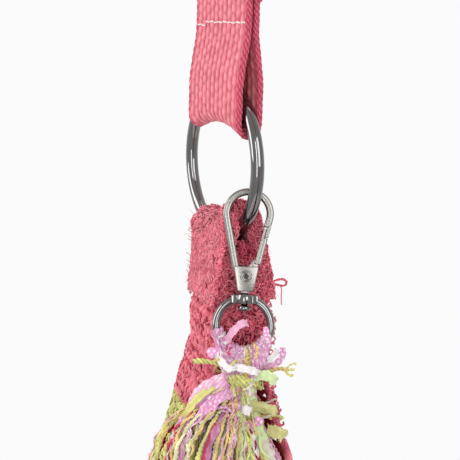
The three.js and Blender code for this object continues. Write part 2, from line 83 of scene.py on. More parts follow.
# Clasp, in millimetres in its own frame
HOOK_WIDE = 18
HOOK_BAR = 2.5
HOOK_THICK = 3
HOOK_LONG = 36.5
BASE_HIGH = 8.8
BASE_TOP = 8.8
BASE_FOOT = 5.7
BASE_THICK = 4.4
WINDOW_FOOT = 5.1
RIVET_DROP = 31.2
RIVET_HEAD = 4.2
GATE_TIP = 13.9
GATE_LAP = 3.2
GATE_FOOT = 27.2
GATE_THICK = 2.6
LUG_WIDE = 4.8
LUG_THICK = 1.4
NECK_HIGH = 1
STUD_WIDE = 2.2
STUD_HEAD = 4.3
STUD_HEAD_HIGH = 1.7
COLLAR_WIDE = 6.1
SHOULDER_WIDE = 9.8
COLLAR_HIGH = 3.5
EYE_WIDE = 22.2
EYE_WIRE = 2.9
CLASP_TURN = 65.6
CLASP_LEAN = 12.5
CLASP_ROLL = 3.2
CLASP_SEAT = 23
CLASP_SLIDE = 1.6

# Tassel, in millimetres
TIE_DROP = 9.4
TIE_HIGH = 4.2
TIE_WIDE = 13.4
TASSEL_LONG = 87
SKIRT_REACH = 22
YARNS, STRIPS, HEAD_STRANDS, CURLS = 120, 34, 21, 70

RING_RADIUS = (RING_INNER + RING_WIRE) / 2
WIRE = RING_WIRE / 2
HALF_SPAN = RING_SPAN / 2
EAR_TOP = RING_RADIUS + WIRE + EAR_ROOM
UP = np.array([0.0, 0.0, 1.0])


def lerp(a, b, t):
    return a + (b - a) * t


def smooth(x, low, high):
    t = np.clip((np.asarray(x, float) - low) / (high - low), 0, 1)
    return t * t * (3 - 2 * t)


def unit(v):
    v = np.asarray(v, float)
    return v / np.maximum(np.linalg.norm(v, axis=-1, keepdims=True), 1e-12)


def travelled(path):
    """Distance gone along a path at each of its points."""
    return np.r_[0, np.cumsum(np.linalg.norm(np.diff(path, axis=0), axis=1))]


def resampled(even, gone, path):
    """Points of a path at the distances even, where gone is the distance of each of its points."""
    return np.stack([np.interp(even, gone, path[:, k]) for k in range(3)], -1)


def curve_through(points, count):
    """A smooth line through a few points."""
    points = np.asarray(points, float)
    padded = np.vstack([2 * points[0] - points[1], points, 2 * points[-1] - points[-2]])
    out = []
    for t in np.linspace(0, len(points) - 1 - 1e-6, count):
        k = int(t)
        f = t - k
        a, b, c, d = padded[k:k + 4]
        bend = 2 * a - 5 * b + 4 * c - d
        twist = 3 * b - a - 3 * c + d
        out.append(0.5 * (2 * b + (c - a) * f + bend * f ** 2 + twist * f ** 3))
    return np.array(out)


def noise(points, scale, seed=0):
    """Smooth random values from -1 to 1 at points, with features about scale apart."""
    p = np.asarray(points, float) / scale
    cell = np.floor(p).astype(np.int64)
    part = p - cell
    part = part * part * (3 - 2 * part)
    total = np.zeros(p.shape[:-1])
    for corner in range(8):
        step = np.array([corner & 1, corner >> 1 & 1, corner >> 2 & 1])
        at = cell + step
        mixed = at[..., 0] * 73856093 ^ at[..., 1] * 19349663 ^ at[..., 2] * 83492791 ^ seed * 2654435761
        mixed = (mixed ^ (mixed >> 13)) * 1274126177 & 0x7FFFFFFF
        mixed = (mixed ^ (mixed >> 11)) & 0xFFFF
        weight = np.prod(np.where(step == 1, part, 1 - part), axis=-1)
        total += weight * (mixed / 32767.5 - 1)
    return total


class Batch:
    """Many small closed strips gathered into one mesh, with a colour for each vertex."""

    def __init__(self):
        self.points = []
        self.faces = []
        self.tints = []
        self.count = 0

    def grid(self, points, tint, wrap_rows=False, wrap_columns=False):
        points = np.asarray(points, float)
        rows, columns = points.shape[:2]
        index = np.arange(rows * columns).reshape(rows, columns) + self.count
        if wrap_rows:
            index = np.vstack([index, index[:1]])
        if wrap_columns:
            index = np.hstack([index, index[:, :1]])
        quads = [index[:-1, :-1], index[1:, :-1], index[1:, 1:], index[:-1, 1:]]
        self.faces.append(np.stack(quads, -1).reshape(-1, 4))
        self.points.append(points.reshape(-1, 3))
        tint = np.broadcast_to(np.asarray(tint, float), (rows, columns, 3)).reshape(-1, 3)
        self.tints.append(tint)
        self.count += rows * columns

    def tube(self, path, radius, tint, sides=6, phase=0.0, flat=1.0, side_axis=None):
        path = np.asarray(path, float)
        along = unit(np.gradient(path, axis=0))
        axis = np.array([0.31, 0.87, 0.39]) if side_axis is None else np.asarray(side_axis, float)
        first = unit(np.cross(along, axis))
        second = np.cross(along, first)
        angles = 2 * np.pi * np.arange(sides) / sides + phase
        radius = np.broadcast_to(np.asarray(radius, float), (len(path),))[:, None, None]
        ring = first[:, None] * np.cos(angles)[None, :, None]
        ring = ring + second[:, None] * np.sin(angles)[None, :, None] * flat
        tint = np.asarray(tint, float)
        if tint.ndim == 2:
            tint = tint[:, None]
        self.grid(path[:, None] + ring * radius, tint, wrap_columns=True)

    def tubes(self, paths, radius, tints, sides=4):
        """Many short tubes of equal point count, tapering to their ends."""
        paths = np.asarray(paths, float)
        many, steps = paths.shape[:2]
        along = unit(np.gradient(paths, axis=1))
        first = unit(np.cross(along, [0.31, 0.87, 0.39]))
        second = np.cross(along, first)
        turn = 2 * np.pi * np.arange(sides) / sides
        radius = np.broadcast_to(np.asarray(radius, float), (many, steps))[..., None, None]
        ring = first[:, :, None] * np.cos(turn)[:, None] + second[:, :, None] * np.sin(turn)[:, None]
        points = paths[:, :, None] + ring * radius
        index = np.arange(many * steps * sides).reshape(many, steps, sides) + self.count
        after = np.roll(index, -1, axis=2)
        quads = [index[:, :-1], index[:, 1:], after[:, 1:], after[:, :-1]]
        self.faces.append(np.stack(quads, -1).reshape(-1, 4))
        self.points.append(points.reshape(-1, 3))
        tints = np.broadcast_to(np.asarray(tints, float)[:, None, None], (many, steps, sides, 3))
        self.tints.append(tints.reshape(-1, 3))
        self.count += many * steps * sides

    def loops(self, at, normal, along, long, high, radius, tints, sides=3, steps=5):
        """Loops of yarn that rise from a surface: at, normal and along give each one's place."""
        aside = np.cross(normal, along)
        bend = np.linspace(0, np.pi, steps)
        long, high = np.asarray(long)[:, None, None], np.asarray(high)[:, None, None]
        paths = at[:, None] - along[:, None] * (np.cos(bend)[None, :, None] * long / 2)
        paths = paths + normal[:, None] * (np.sin(bend)[None, :, None] * high - 0.3)
        paths = paths + aside[:, None] * (np.sin(bend * 2)[None, :, None] * long * 0.18)
        self.tubes(paths, radius, tints, sides)

    def build(self, name, material):
        points = np.concatenate(self.points)
        faces = np.concatenate(self.faces)
        mesh = bpy.data.meshes.new(name)
        mesh.vertices.add(len(points))
        mesh.vertices.foreach_set("co", (points * MM).ravel())
        mesh.loops.add(faces.size)
        mesh.loops.foreach_set("vertex_index", faces.ravel())
        mesh.polygons.add(len(faces))
        mesh.polygons.foreach_set("loop_start", np.arange(0, faces.size, 4))
        mesh.update(calc_edges=True)
        mesh.validate()
        tint = mesh.color_attributes.new("tint", "FLOAT_COLOR", "POINT")
        colours = np.ones((len(points), 4))
        colours[:, :3] = np.concatenate(self.tints)
        tint.data.foreach_set("color", colours.ravel())
        mesh.shade_smooth()
        return place(name, mesh, material)


def place(name, mesh, material):
    obj = bpy.data.objects.new(name, mesh)
    bpy.context.scene.collection.objects.link(obj)
    mesh.materials.append(material)
    return obj


def join(name, objects):
    """One object from several, keeping their materials."""
    for obj in bpy.context.selected_objects:
        obj.select_set(False)
    for obj in objects:
        obj.select_set(True)
    bpy.context.view_layer.objects.active = objects[0]
    bpy.ops.object.join()
    objects[0].name = name
    return objects[0]


def srgb(red, green, blue):
    """Linear colour from 0 to 255 values."""
    values = np.array([red, green, blue], float) / 255
    return np.where(values <= 0.04045, values / 12.92, ((values + 0.055) / 1.055) ** 2.4)


# Camera: it looks at the left ring from the bag's middle, a little from the front and from above

AZIMUTH, PITCH = math.radians(63), math.radians(10)
FOCAL_PIXELS = 849.5
PICTURE_MIDDLE = 230
CAMERA_ASIDE, CAMERA_BELOW, CAMERA_AWAY = 0.0029, 0.0255, 0.318
ring_centre = np.array([-HALF_SPAN, 0, -STRAP_DROP]) * MM
right = np.array([math.cos(AZIMUTH), math.sin(AZIMUTH), 0])
up = np.array([-math.sin(AZIMUTH) * math.sin(PITCH), math.cos(AZIMUTH) * math.sin(PITCH), math.cos(PITCH)])
back = np.array([math.sin(AZIMUTH) * math.cos(PITCH), -math.cos(AZIMUTH) * math.cos(PITCH), math.sin(PITCH)])
camera_at = ring_centre + CAMERA_ASIDE * right - CAMERA_BELOW * up + CAMERA_AWAY * back
camera_data = bpy.data.cameras.new("camera")
camera_data.lens = 66.48
camera_data.sensor_width = 36
camera_data.clip_start = 0.01
camera = bpy.data.objects.new("camera", camera_data)
bpy.context.scene.collection.objects.link(camera)
camera.matrix_world = Matrix([[*axes, at] for *axes, at in zip(right, up, back, camera_at)] + [[0, 0, 0, 1]])
bpy.context.scene.camera = camera


def sight(x, y):
    """Direction in which a pixel of the picture is seen."""
    return unit((x - PICTURE_MIDDLE) / FOCAL_PIXELS * right + (PICTURE_MIDDLE - y) / FOCAL_PIXELS * up - back)


def seen_at(x, y, depth):
    """The point, in millimetres, seen at a pixel, at a depth in millimetres."""
    ray = sight(x, y)
    return camera_at / MM + ray * depth / (ray @ -back)


# Materials

def set_inputs(made, **inputs):
    for name, value in inputs.items():
        made.inputs[name.replace("_", " ")].default_value = value
    return made


def node(tree, kind, **inputs):
    return set_inputs(tree.nodes.new(kind), **inputs)


def noise_node(tree, scale, detail, roughness):
    """Noise in the object's own coordinates."""
    place_at = tree.nodes.new("ShaderNodeTexCoord")
    made = node(tree, "ShaderNodeTexNoise", Scale=scale, Detail=detail, Roughness=roughness)
    tree.links.new(place_at.outputs["Object"], made.inputs["Vector"])
    return made.outputs["Fac"]


def map_range(tree, value, low, high, to_low, to_high):
    """A value mapped from one range to another."""
    made = node(tree, "ShaderNodeMapRange", From_Min=low, From_Max=high, To_Min=to_low, To_Max=to_high)
    tree.links.new(value, made.inputs["Value"])
    return made.outputs["Result"]


def scale_node(tree, shader, factor):
    """Node that gives the shader's colour as a colour times a factor."""
    made = tree.nodes.new("ShaderNodeVectorMath")
    made.operation = "SCALE"
    tree.links.new(factor, made.inputs["Scale"])
    tree.links.new(made.outputs["Vector"], shader.inputs["Base Color"])
    return made


def raise_by(tree, shader, height, strength, distance):
    """Surface of the shader raised by a height."""
    bump = node(tree, "ShaderNodeBump", Strength=strength, Distance=distance)
    tree.links.new(height, bump.inputs["Height"])
    tree.links.new(bump.outputs["Normal"], shader.inputs["Normal"])


def new_material(name):
    material = bpy.data.materials.new(name)
    material.use_nodes = True
    tree = material.node_tree
    shader = tree.nodes["Principled BSDF"]
    return material, tree, shader


def fibre(name, rough=0.9, sheen=0.35, sheen_tint=(1, 0.8, 0.82, 1), grain=0.35, fine=0.0006, through=0.0):
    """Spun yarn: the mesh's tint, which holds painted shade as well as the yarn's colour, mottled, with short
    fibres raised by fine noise.
    """
    material, tree, shader = new_material(name)
    tint = tree.nodes.new("ShaderNodeVertexColor")
    tint.layer_name = "tint"
    mottle = noise_node(tree, 1 / (fine * 7), 4.0, 0.65)
    shade = scale_node(tree, shader, map_range(tree, mottle, 0.3, 0.7, 1 - grain, 1 + grain * 0.6))
    tree.links.new(tint.outputs["Color"], shade.inputs[0])
    raise_by(tree, shader, noise_node(tree, 1 / fine, 3.0, 0.7), 0.6, fine * 0.5)
    set_inputs(shader, Roughness=rough, Sheen_Weight=sheen, Sheen_Roughness=0.5, Sheen_Tint=sheen_tint,
               Specular_IOR_Level=0.2)
    if through:
        set_inputs(shader, Subsurface_Weight=through, Subsurface_Radius=(0.002, 0.001, 0.001),
                   Subsurface_Scale=0.5)
    return material


def metal(name, colour, low, high, brush=0.0):
    """Plated metal with a faint cloudiness in its gloss and fine wear in its surface."""
    material, tree, shader = new_material(name)
    cloud = noise_node(tree, 160.0, 5.0, 0.6)
    tree.links.new(map_range(tree, cloud, 0.3, 0.7, low, high), shader.inputs["Roughness"])
    base = scale_node(tree, shader, map_range(tree, cloud, 0.25, 0.75, 0.9, 1.06))
    base.inputs[0].default_value = colour
    shader.inputs["Metallic"].default_value = 1.0
    raise_by(tree, shader, noise_node(tree, 2600.0, 2.0, 0.6), brush, 0.00004)
    return material


webbing = fibre("webbing", rough=0.9, sheen=0.1, grain=0.16, fine=0.0005)
knit = fibre("knit_yarn", rough=0.95, sheen=0.15, grain=0.25, fine=0.0006)
yarn = fibre("tassel_yarn", rough=0.9, sheen=0.12, sheen_tint=(1, 1, 0.9, 1), grain=0.2, fine=0.0005)
cloth_strip = fibre("printed_strips", rough=0.85, sheen=0.15, grain=0.12, fine=0.0004, through=0.1)
polished = metal("polished_plate", (0.21, 0.207, 0.203), 0.05, 0.12, 0.05)
satin = metal("satin_plate", (0.30, 0.29, 0.27), 0.24, 0.34, 0.25)
# A lighter copy of the plate, painted light for the stud's neck, which would look dark in its gap below the
# base.
bright = metal("painted_light_plate", (0.62, 0.61, 0.6), 0.3, 0.4, 0.1)
bright.node_tree.nodes["Principled BSDF"].inputs["Metallic"].default_value = 0.55
# A near-black copy of the steel for the rivets' hollows: painted shade inside the holes.
hollow_shade_steel = metal("rivet_hollow", (0.07, 0.065, 0.06), 0.3, 0.5, 0.2)

LIGHT_PINK = srgb(236, 140, 152)
MID_PINK = srgb(222, 105, 125)
CRIMSON = srgb(170, 32, 62)
# Deep red for painted shade inside the bag's hollow
HOLLOW_SHADE_RED = srgb(140, 6, 22)
LIME = srgb(220, 220, 138)
OLIVE = srgb(200, 196, 138)
LILAC = srgb(222, 150, 196)
PALE = srgb(246, 240, 240)
GREIGE = srgb(222, 214, 200)
MINT = srgb(208, 228, 172)
THREAD = srgb(250, 225, 225)


def mix(first, second, share):
    """Colour between two colours, for an array of shares."""
    share = np.clip(np.asarray(share, float), 0, 1)[..., None]
    return first * (1 - share) + second * share


# Strap: stations along its middle, each with the way it faces and the way its width runs

def strap_stations():
    lean = math.radians(STRAP_LEAN)
    up = np.array([math.sin(lean), 0, math.cos(lean)])
    out = np.array([-math.cos(lean), 0, math.sin(lean)])
    ring = np.array([-HALF_SPAN, 0, -STRAP_DROP], float)
    bend = WIRE + SEAT_GAP + STRAP_THICK / 2
    layer = (STRAP_THICK + SEAT_GAP) / 2
    foot = FOLD_RISE + WIRE + SEAT_GAP
    wire_top = RING_RADIUS + WIRE
    back = np.array([0.0, 1.0, 0.0])
    rows = []

    def station(y, rise, face):
        middle = ring + up * rise
        middle[1] = y
        bow = FOLD_BOW * (1 - smooth(rise, FOLD_RISE, SEAM_RISE))
        rows.append((middle, face, out, up * bow))

    def offset(rise):
        return lerp(bend, layer, smooth(rise, wire_top, SEAM_RISE))

    for rise in np.linspace(FLAP_RISE, foot, 40):
        station(offset(rise), rise, back)
    for angle in np.linspace(0, np.pi, 15)[1:]:
        face = back * math.cos(angle) - up * math.sin(angle)
        station(bend * math.cos(angle), foot - bend * math.sin(angle), face)
    for rise in np.linspace(foot, LEG_RISE, 52)[1:]:
        station(-offset(rise), rise, -back)
    arch_foot = ring + up * LEG_RISE
    wide = -arch_foot[0]
    high = STRAP_THICK / 2 - arch_foot[2]
    steep = up[0] / up[2] * high / wide
    spring = math.asin(steep / (1 - steep))
    semi_wide = wide / math.cos(spring)
    semi_high = high / (1 - math.sin(spring))
    for share in np.linspace(0, 1, 200)[1:]:
        angle = lerp(spring, np.pi / 2, share)
        x = -semi_wide * math.cos(angle)
        z = STRAP_THICK / 2 + semi_high * (math.sin(angle) - 1)
        y = -layer * (1 - smooth(share, 0, 0.35))
        away = unit([-math.cos(angle) / semi_wide, 0, math.sin(angle) / semi_high])
        turn = np.pi / 2 * (1 - smooth(share, 0.04, 0.86))
        face = away * math.cos(turn) - back * math.sin(turn)
        across = away * math.sin(turn) + back * math.cos(turn)
        rows.append((np.array([x, y, z]), face, across, up * 0))
    flip = np.array([-1, 1, 1])
    rows += [tuple(v * flip for v in row) for row in rows[-2::-1]]
    middle, face, across, bow = (np.array([row[k] for row in rows]) for k in range(4))
    gone = travelled(middle)
    even = np.linspace(0, gone[-1], int(gone[-1] / STRAP_STEP))
    middle, face, across, bow = (resampled(even, gone, v) for v in (middle, face, across, bow))
    return even, middle, unit(face), unit(across), bow


def end_caps(batch, surface, flat_cells, edge_cells):
    """Closes a band's two ends, between its outer and its inner face."""
    for end in (0, -1):
        loop = surface[end]
        inner = loop[flat_cells + edge_cells:2 * flat_cells + edge_cells]
        batch.grid(np.stack([loop[:flat_cells], inner[::-1]]), CRIMSON)


def build_strap():
    along, middle, face, across, bow = strap_stations()
    half = STRAP_WIDTH / 2
    edge = STRAP_THICK / 2
    flat_cells, edge_cells = 49, 6
    flat = np.linspace(-1, 1, flat_cells) * (half - edge)
    turn = np.pi * (np.arange(edge_cells) + 0.5) / edge_cells
    aside = np.r_[flat, half - edge + edge * np.sin(turn), flat[::-1], -half + edge - edge * np.sin(turn)]
    stand = np.r_[np.full(flat_cells, edge), edge * np.cos(turn),
                  np.full(flat_cells, -edge), -edge * np.cos(turn)]
    normal_out = np.r_[np.zeros(flat_cells), np.sin(turn), np.zeros(flat_cells), -np.sin(turn)]
    normal_up = np.r_[np.ones(flat_cells), np.cos(turn), -np.ones(flat_cells), -np.cos(turn)]
    u, v = np.meshgrid(aside, along)
    rib, knot = 3.35, 3.9
    column = np.floor(u / rib + 0.5)
    ribs = 0.5 + 0.5 * np.cos(2 * np.pi * u / rib)
    wobble = noise(np.stack([u, v, u * 0], -1), 9, 3) * 0.5
    beat = v / knot + 0.5 * (column % 2) + 0.18 * (u / rib - column)
    step = 0.5 + 0.5 * np.cos(2 * np.pi * beat + wobble)
    rough = noise(np.stack([u, v, u * 0], -1), 1.6, 5)
    weave = ribs ** 0.7 * (0.4 + 0.6 * step ** 0.7) + 0.14 * rough
    edges = np.abs(u) > half - edge - 0.1
    twist = 0.5 + 0.5 * np.cos(2 * np.pi * (v + 1.6 * np.arctan2(stand, np.abs(aside) - half + edge)) / 2.5)
    height = np.where(edges, twist * 0.9, weave)
    lift = lerp(-0.42, 0.12, np.clip(height, 0, 1.1))
    points = middle[:, None] + across[:, None] * aside[None, :, None]
    points = points + face[:, None] * stand[None, :, None]
    share = aside / half
    points = points - bow[:, None] * (share ** 2)[None, :, None]
    normal = across[:, None] * normal_out[None, :, None] + face[:, None] * normal_up[None, :, None]
    points = points + normal * lift[..., None]
    # Painted shade: the weave's colour darkens into its low places and most into the slits between its knots,
    # and the edges' twist darkens into its grooves.
    slit_shade = np.clip(1.25 - step * 2.6, 0, 1) * np.clip(1.3 - 1.6 * ribs, 0.25, 1)
    tint = mix(srgb(190, 66, 88), srgb(238, 150, 158), np.clip(height, 0, 1) ** 0.5 + 0.06 * rough)
    tint = mix(tint, srgb(176, 44, 72), 0.75 * slit_shade)
    tint = np.where(edges[..., None], mix(srgb(150, 16, 54), srgb(238, 122, 142), twist ** 1.6), tint)
    batch = Batch()
    batch.grid(points, tint, wrap_columns=True)
    end_caps(batch, points, flat_cells, edge_cells)
    made = batch.build("strap_webbing", webbing)
    return made, (along, middle, face, across, bow)


def orient(obj):
    """Faces turned to point outwards."""
    mesh = bmesh.new()
    mesh.from_mesh(obj.data)
    bmesh.ops.recalc_face_normals(mesh, faces=mesh.faces)
    mesh.to_mesh(obj.data)
    mesh.free()
    return obj


strap, STRAP = build_strap()
orient(strap)
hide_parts("strap")
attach(strap, "root")


def strap_point(row, aside, stand):
    """A point on the strap: row along it, aside from its middle, stand out from its middle layer."""
    low = min(int(row), len(STRAP[0]) - 2)
    middle, face, across, bow = (lerp(values[low], values[low + 1], row - low) for values in STRAP[1:])
    share = aside / (STRAP_WIDTH / 2)
    return middle + across * aside - bow * share ** 2 + face * stand


def strap_details():
    """The seam's white running stitch on each side, and the frayed raw end of each turned layer."""
    along = STRAP[0]
    half = STRAP_WIDTH / 2
    foot = FOLD_RISE + WIRE + SEAT_GAP
    seam = FLAP_RISE - foot + FOLD_LENGTH + SEAM_RISE - foot
    thread, fray = Batch(), Batch()
    for far in (False, True):
        for k in range(STITCHES):
            low = lerp(-half + 1.6, half - 2.0, k / STITCHES)
            high = lerp(-half + 1.6, half - 2.0, (k + 0.84) / STITCHES)
            asides = np.linspace(low, high, 9)
            sag = 1.1 + 0.12 * math.sin(k * 1.9) - (1.1 if k >= STITCHES - 2 else 0)
            line = []
            for aside in asides:
                lift = 0.42 * math.sin(math.pi * (aside - low) / (high - low))
                distance = seam + sag + 0.12 * math.sin(aside * 1.3)
                row = np.interp(along[-1] - distance if far else distance, along, np.arange(len(along)))
                line.append(strap_point(row, aside, STRAP_THICK / 2 - 0.12 + lift))
            thread.tube(line, 0.3, THREAD, 6)
        edge = len(along) - 1.0 if far else 0.0
        inward = unit(STRAP[1][int(edge)] - STRAP[1][-4 if far else 3])
        paths, tints = [], []
        for k in range(FRAYED):
            start = strap_point(edge, rng.uniform(-half, half), rng.uniform(-1, 1)) - inward * 1.0
            drift = inward * rng.uniform(1.5, 4.2) + rng.normal(0, 0.6, 3)
            curl = rng.normal(0, 0.5, 3)
            paths.append([start + drift * t + curl * math.sin(3 * t) for t in (0, 0.3, 0.6, 1)])
            tints.append(mix(CRIMSON, MID_PINK, rng.random()))
        fray.tubes(np.array(paths), np.array([0.3, 0.26, 0.2, 0.1]), np.array(tints), 4)
    for batch, name, material in ((thread, "strap_stitching", yarn), (fray, "strap_frayed_ends", webbing)):
        obj = batch.build(name, material)
        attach(obj, "root")


rng = np.random.default_rng(11)
strap_details()


# Rings

def torus(batch, radius, wire, centre, steps=160, sides=28, tint=(1, 1, 1)):
    turn = 2 * np.pi * np.arange(steps) / steps
    round_wire = 2 * np.pi * np.arange(sides) / sides
    reach = radius + wire * np.cos(round_wire)[None, :]
    through = np.broadcast_to(wire * np.sin(round_wire), (steps, sides))
    points = np.stack([reach * np.cos(turn)[:, None], through, reach * np.sin(turn)[:, None]], -1)
    batch.grid(points + np.asarray(centre, float), tint, wrap_rows=True, wrap_columns=True)


for side, word in ((-1, "left"), (1, "right")):
    ring_batch = Batch()
    torus(ring_batch, RING_RADIUS, WIRE, (side * HALF_SPAN, 0, -STRAP_DROP))
    ring = orient(ring_batch.build("ring_steel_" + word, polished))
    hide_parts("ring_" + word)
    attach(ring, "root")

# Bag

BAG_ROWS = np.array([
    (0.0, 0.267, 0.142), (0.016, 0.275, 0.175), (0.054, 0.308, 0.238), (0.079, 0.375, 0.332),
    (0.104, 0.383, 0.318), (0.123, 0.39, 0.3), (0.14, 0.47, 0.292), (0.161, 0.517, 0.318),
    (0.192, 0.6, 0.378), (0.23, 0.665, 0.452), (0.274, 0.76, 0.53), (0.369, 0.89, 0.7),
    (0.527, 0.985, 0.9), (0.685, 1, 1), (0.842, 0.9, 0.95), (0.93, 0.72, 0.8), (0.975, 0.5, 0.58),
    (1.0, 0.22, 0.26),
])
BAG_POWER = 2.5
MOUTH_ROWS = np.array([
    (0, 0.2), (-0.006, 0.37), (-0.022, 0.52), (-0.012, 0.66), (0.035, 0.78), (0.18, 0.885),
    (0.5, 0.968), (1, 1),
])


def bag_size(drop):
    fall = (np.asarray(drop, float) - EAR_TOP) / (BAG_DROP - EAR_TOP)
    wide = HALF_SPAN + BAG_REACH * np.interp(fall, BAG_ROWS[:, 0], BAG_ROWS[:, 1])
    deep = BAG_DEPTH / 2 * np.interp(fall, BAG_ROWS[:, 0], BAG_ROWS[:, 2])
    return wide, deep


def bag_side(x, drop):
    wide, deep = bag_size(drop)
    share = np.minimum(1, np.abs(x) / wide)
    return deep * (1 - share ** BAG_POWER) ** (1 / BAG_POWER)


def rim_reach(drop):
    """Distance of the mouth's rim from the bag's middle at a drop, and 0 below the rim."""
    falls = np.r_[0, MOUTH_ROWS[:, 1]]
    inward = np.r_[0, MOUTH_ROWS[:, 0]]
    fall = (np.asarray(drop, float) - EAR_TOP) / (MOUTH_DROP - EAR_TOP)
    return (HALF_SPAN - EAR_IN) * (1 - np.interp(fall, falls, inward))


def crochet(s, d, seed=0):
    """Height from 0 to 1 of a crocheted surface, s millimetres along a row and d down."""
    s = s + 1.1 * noise(np.stack([s, d, s * 0], -1), 13, seed + 1)
    d = d + 1.1 * noise(np.stack([s, d, s * 0 + 40], -1), 13, seed + 2)
    stitch, row = 3.7, 3.9
    line = np.floor(d / row)
    across = s / stitch + 0.5 * (line % 2)
    bump = np.abs(np.sin(np.pi * across)) ** 0.55 * np.abs(np.sin(np.pi * d / row)) ** 0.5
    slant = 0.5 + 0.5 * np.sin(2 * np.pi * (across * 2 + d / row * 1.5))
    grain = noise(np.stack([s, d, s * 0], -1), 1.3, seed + 3)
    return np.clip(0.72 * bump + 0.2 * slant * bump + 0.16 * grain + 0.04, 0, 1)


def shell_rows(side, drops, inset, columns):
    """Points of one half of the bag's skin, from the front's rim or middle round to the back's."""
    grid = []
    arcs = []
    for drop in drops:
        wide, deep = bag_size(drop)
        wide, deep = wide - inset, deep - inset
        start = min(rim_reach(drop), wide - 0.01) / wide
        low = math.acos(min(1, start ** (BAG_POWER / 2)))
        fine = np.linspace(0, low, 400)
        x = wide * np.cos(fine) ** (2 / BAG_POWER)
        y = deep * np.sin(fine) ** (2 / BAG_POWER)
        length = np.r_[0, np.cumsum(np.hypot(np.diff(x), np.diff(y)))]
        even = np.linspace(0, length[-1], columns // 2 + 1)
        xs, ys = np.interp(even, length, x), np.interp(even, length, y)
        xs, ys = np.r_[xs[::-1], xs[1:]], np.r_[-ys[::-1], ys[1:]]
        arcs.append(np.r_[-even[::-1], even[1:]])
        grid.append(np.stack([side * xs, ys, np.full(len(xs), -STRAP_DROP - drop)], -1))
    return np.array(grid), np.array(arcs)


def grid_normals(points, outward):
    across = np.gradient(points, axis=1)
    down = np.gradient(points, axis=0)
    normal = unit(np.cross(across, down))
    wrong = np.sign(np.sum(normal * outward, -1, keepdims=True))
    return normal * np.where(wrong == 0, 1, wrong)


def flared(points):
    """The back wall's rim leans a little outward beside the tassel."""
    drop = -points[..., 2] - STRAP_DROP
    lean = smooth(drop, 96, 124) * (1 - smooth(drop, 150, 185)) * smooth(points[..., 1], 2, 12)
    return points + np.stack([0 * lean, 3.0 * lean, 0 * lean], -1)


def bag_skin(side, inset, fine_rows, coarse_rows, columns):
    top = EAR_TOP if inset == 0 else NECK_DROP
    foot = BAG_DROP - inset
    drops = np.r_[np.linspace(top, 190, fine_rows), np.linspace(190, foot - 0.5, coarse_rows)[1:]]
    points, arcs = shell_rows(side, drops, inset, columns)
    points = flared(points)
    centre = np.zeros(3) + [side * HALF_SPAN * 0.6, 0, -STRAP_DROP - 200]
    normal = grid_normals(points, points - centre)
    if inset:
        normal = -normal
    height = crochet(arcs, np.broadcast_to(drops[:, None], arcs.shape), 7 if inset else 1)
    return points, normal, height, drops


# Drops of the lime stripe's top and foot, and of the start of the inside's painted shade
STRIPE_TOP, STRIPE_FOOT, INNER_SHADE_FROM = 97, 130, 82


def band(points, height, inner):
    """Colour of the bag's yarn: pink outside with a lime stripe, darker where the stitches sink as painted
    shade, and inside turning deep red lower down as painted shade of the bag's hollow.
    """
    drop = -points[..., 2] - STRAP_DROP + 2.5 * noise(points, 9, 31)
    spots = smooth(noise(points, 5.5, 32), 0.25, 0.6) * 0.55
    # Painted shade: each colour here darkens where the stitches sink, by their height.
    pink = mix(srgb(186, 44, 74), srgb(240, 138, 150), np.asarray(height) ** 0.8)
    pink = mix(pink, mix(srgb(142, 10, 42), srgb(216, 84, 108), height), spots)
    if inner:
        # Painted shade of the bag's hollow: lower down, the inside turns deep red.
        red = mix(srgb(118, 0, 8), srgb(196, 10, 30), height)
        return mix(pink, red, smooth(drop, INNER_SHADE_FROM - 10, INNER_SHADE_FROM + 10))
    lime = mix(srgb(158, 158, 70), srgb(224, 222, 144), height)
    share = smooth(drop, STRIPE_TOP - 1, STRIPE_TOP + 1)
    return mix(pink, lime, share * (1 - smooth(drop, STRIPE_FOOT - 1, STRIPE_FOOT + 1)))


def lifted(points, normal, height, low):
    """A skin raised by its stitches, with its front and back edges left where they are."""
    last = points.shape[1] - 1
    edge = np.minimum(1, np.minimum(np.arange(last + 1), np.arange(last, -1, -1)) / 3)
    return points + normal * (lerp(low, 0.5, height) * edge[None, :])[..., None]


def closing(row):
    """A strip between the front half and the back half of a row."""
    half = (len(row) + 1) // 2
    return np.stack([row[:half], row[::-1][:half]])


def build_bag():
    """The bag's outside and inside, and the skins that the loops follow."""
    outside, inside = Batch(), Batch()
    skins = []
    for side in (-1, 1):
        fine = side < 0
        rows, columns = ((104, 56), 230) if fine else ((66, 44), 150)
        outer, normal, height, outer_drops = bag_skin(side, 0, *rows, columns)
        outside.grid(lifted(outer, normal, height, -0.9), band(outer, height, False))
        skins.append((side, "out", outer, normal, outer_drops))
        rows, columns = ((78, 44), 160) if fine else ((50, 34), 100)
        points, normal, height, drops = bag_skin(side, BAG_WALL, *rows, columns)
        inside.grid(lifted(points, normal, height, -0.7), band(points, height, True))
        skins.append((side, "in", points, normal, drops))
        # A dark sheet of painted shade closes the inside's top.
        inside.grid(closing(points[0]), HOLLOW_SHADE_RED * 0.6)
        for column in (0, -1):
            inner_edge = resampled(outer_drops, drops, points[:, column])
            inner_edge[:, 2] = outer[:, column, 2]
            solid_row = outer_drops < NECK_DROP
            inner_edge[solid_row, 1] = 0
            inner_edge[solid_row, 0] = outer[solid_row, column, 0]
            outside.grid(np.stack([outer[:, column], inner_edge], 1), srgb(176, 44, 74))
        for end in (-1, 0):
            outside.grid(closing(outer[end]), CRIMSON)
    return outside.build("bag_outside", knit), inside.build("bag_inside", knit), skins


bag_outside, bag_inside, SKINS = build_bag()
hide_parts("bag_body")
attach(bag_outside, "root")
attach(bag_inside, "root")


# Tabs

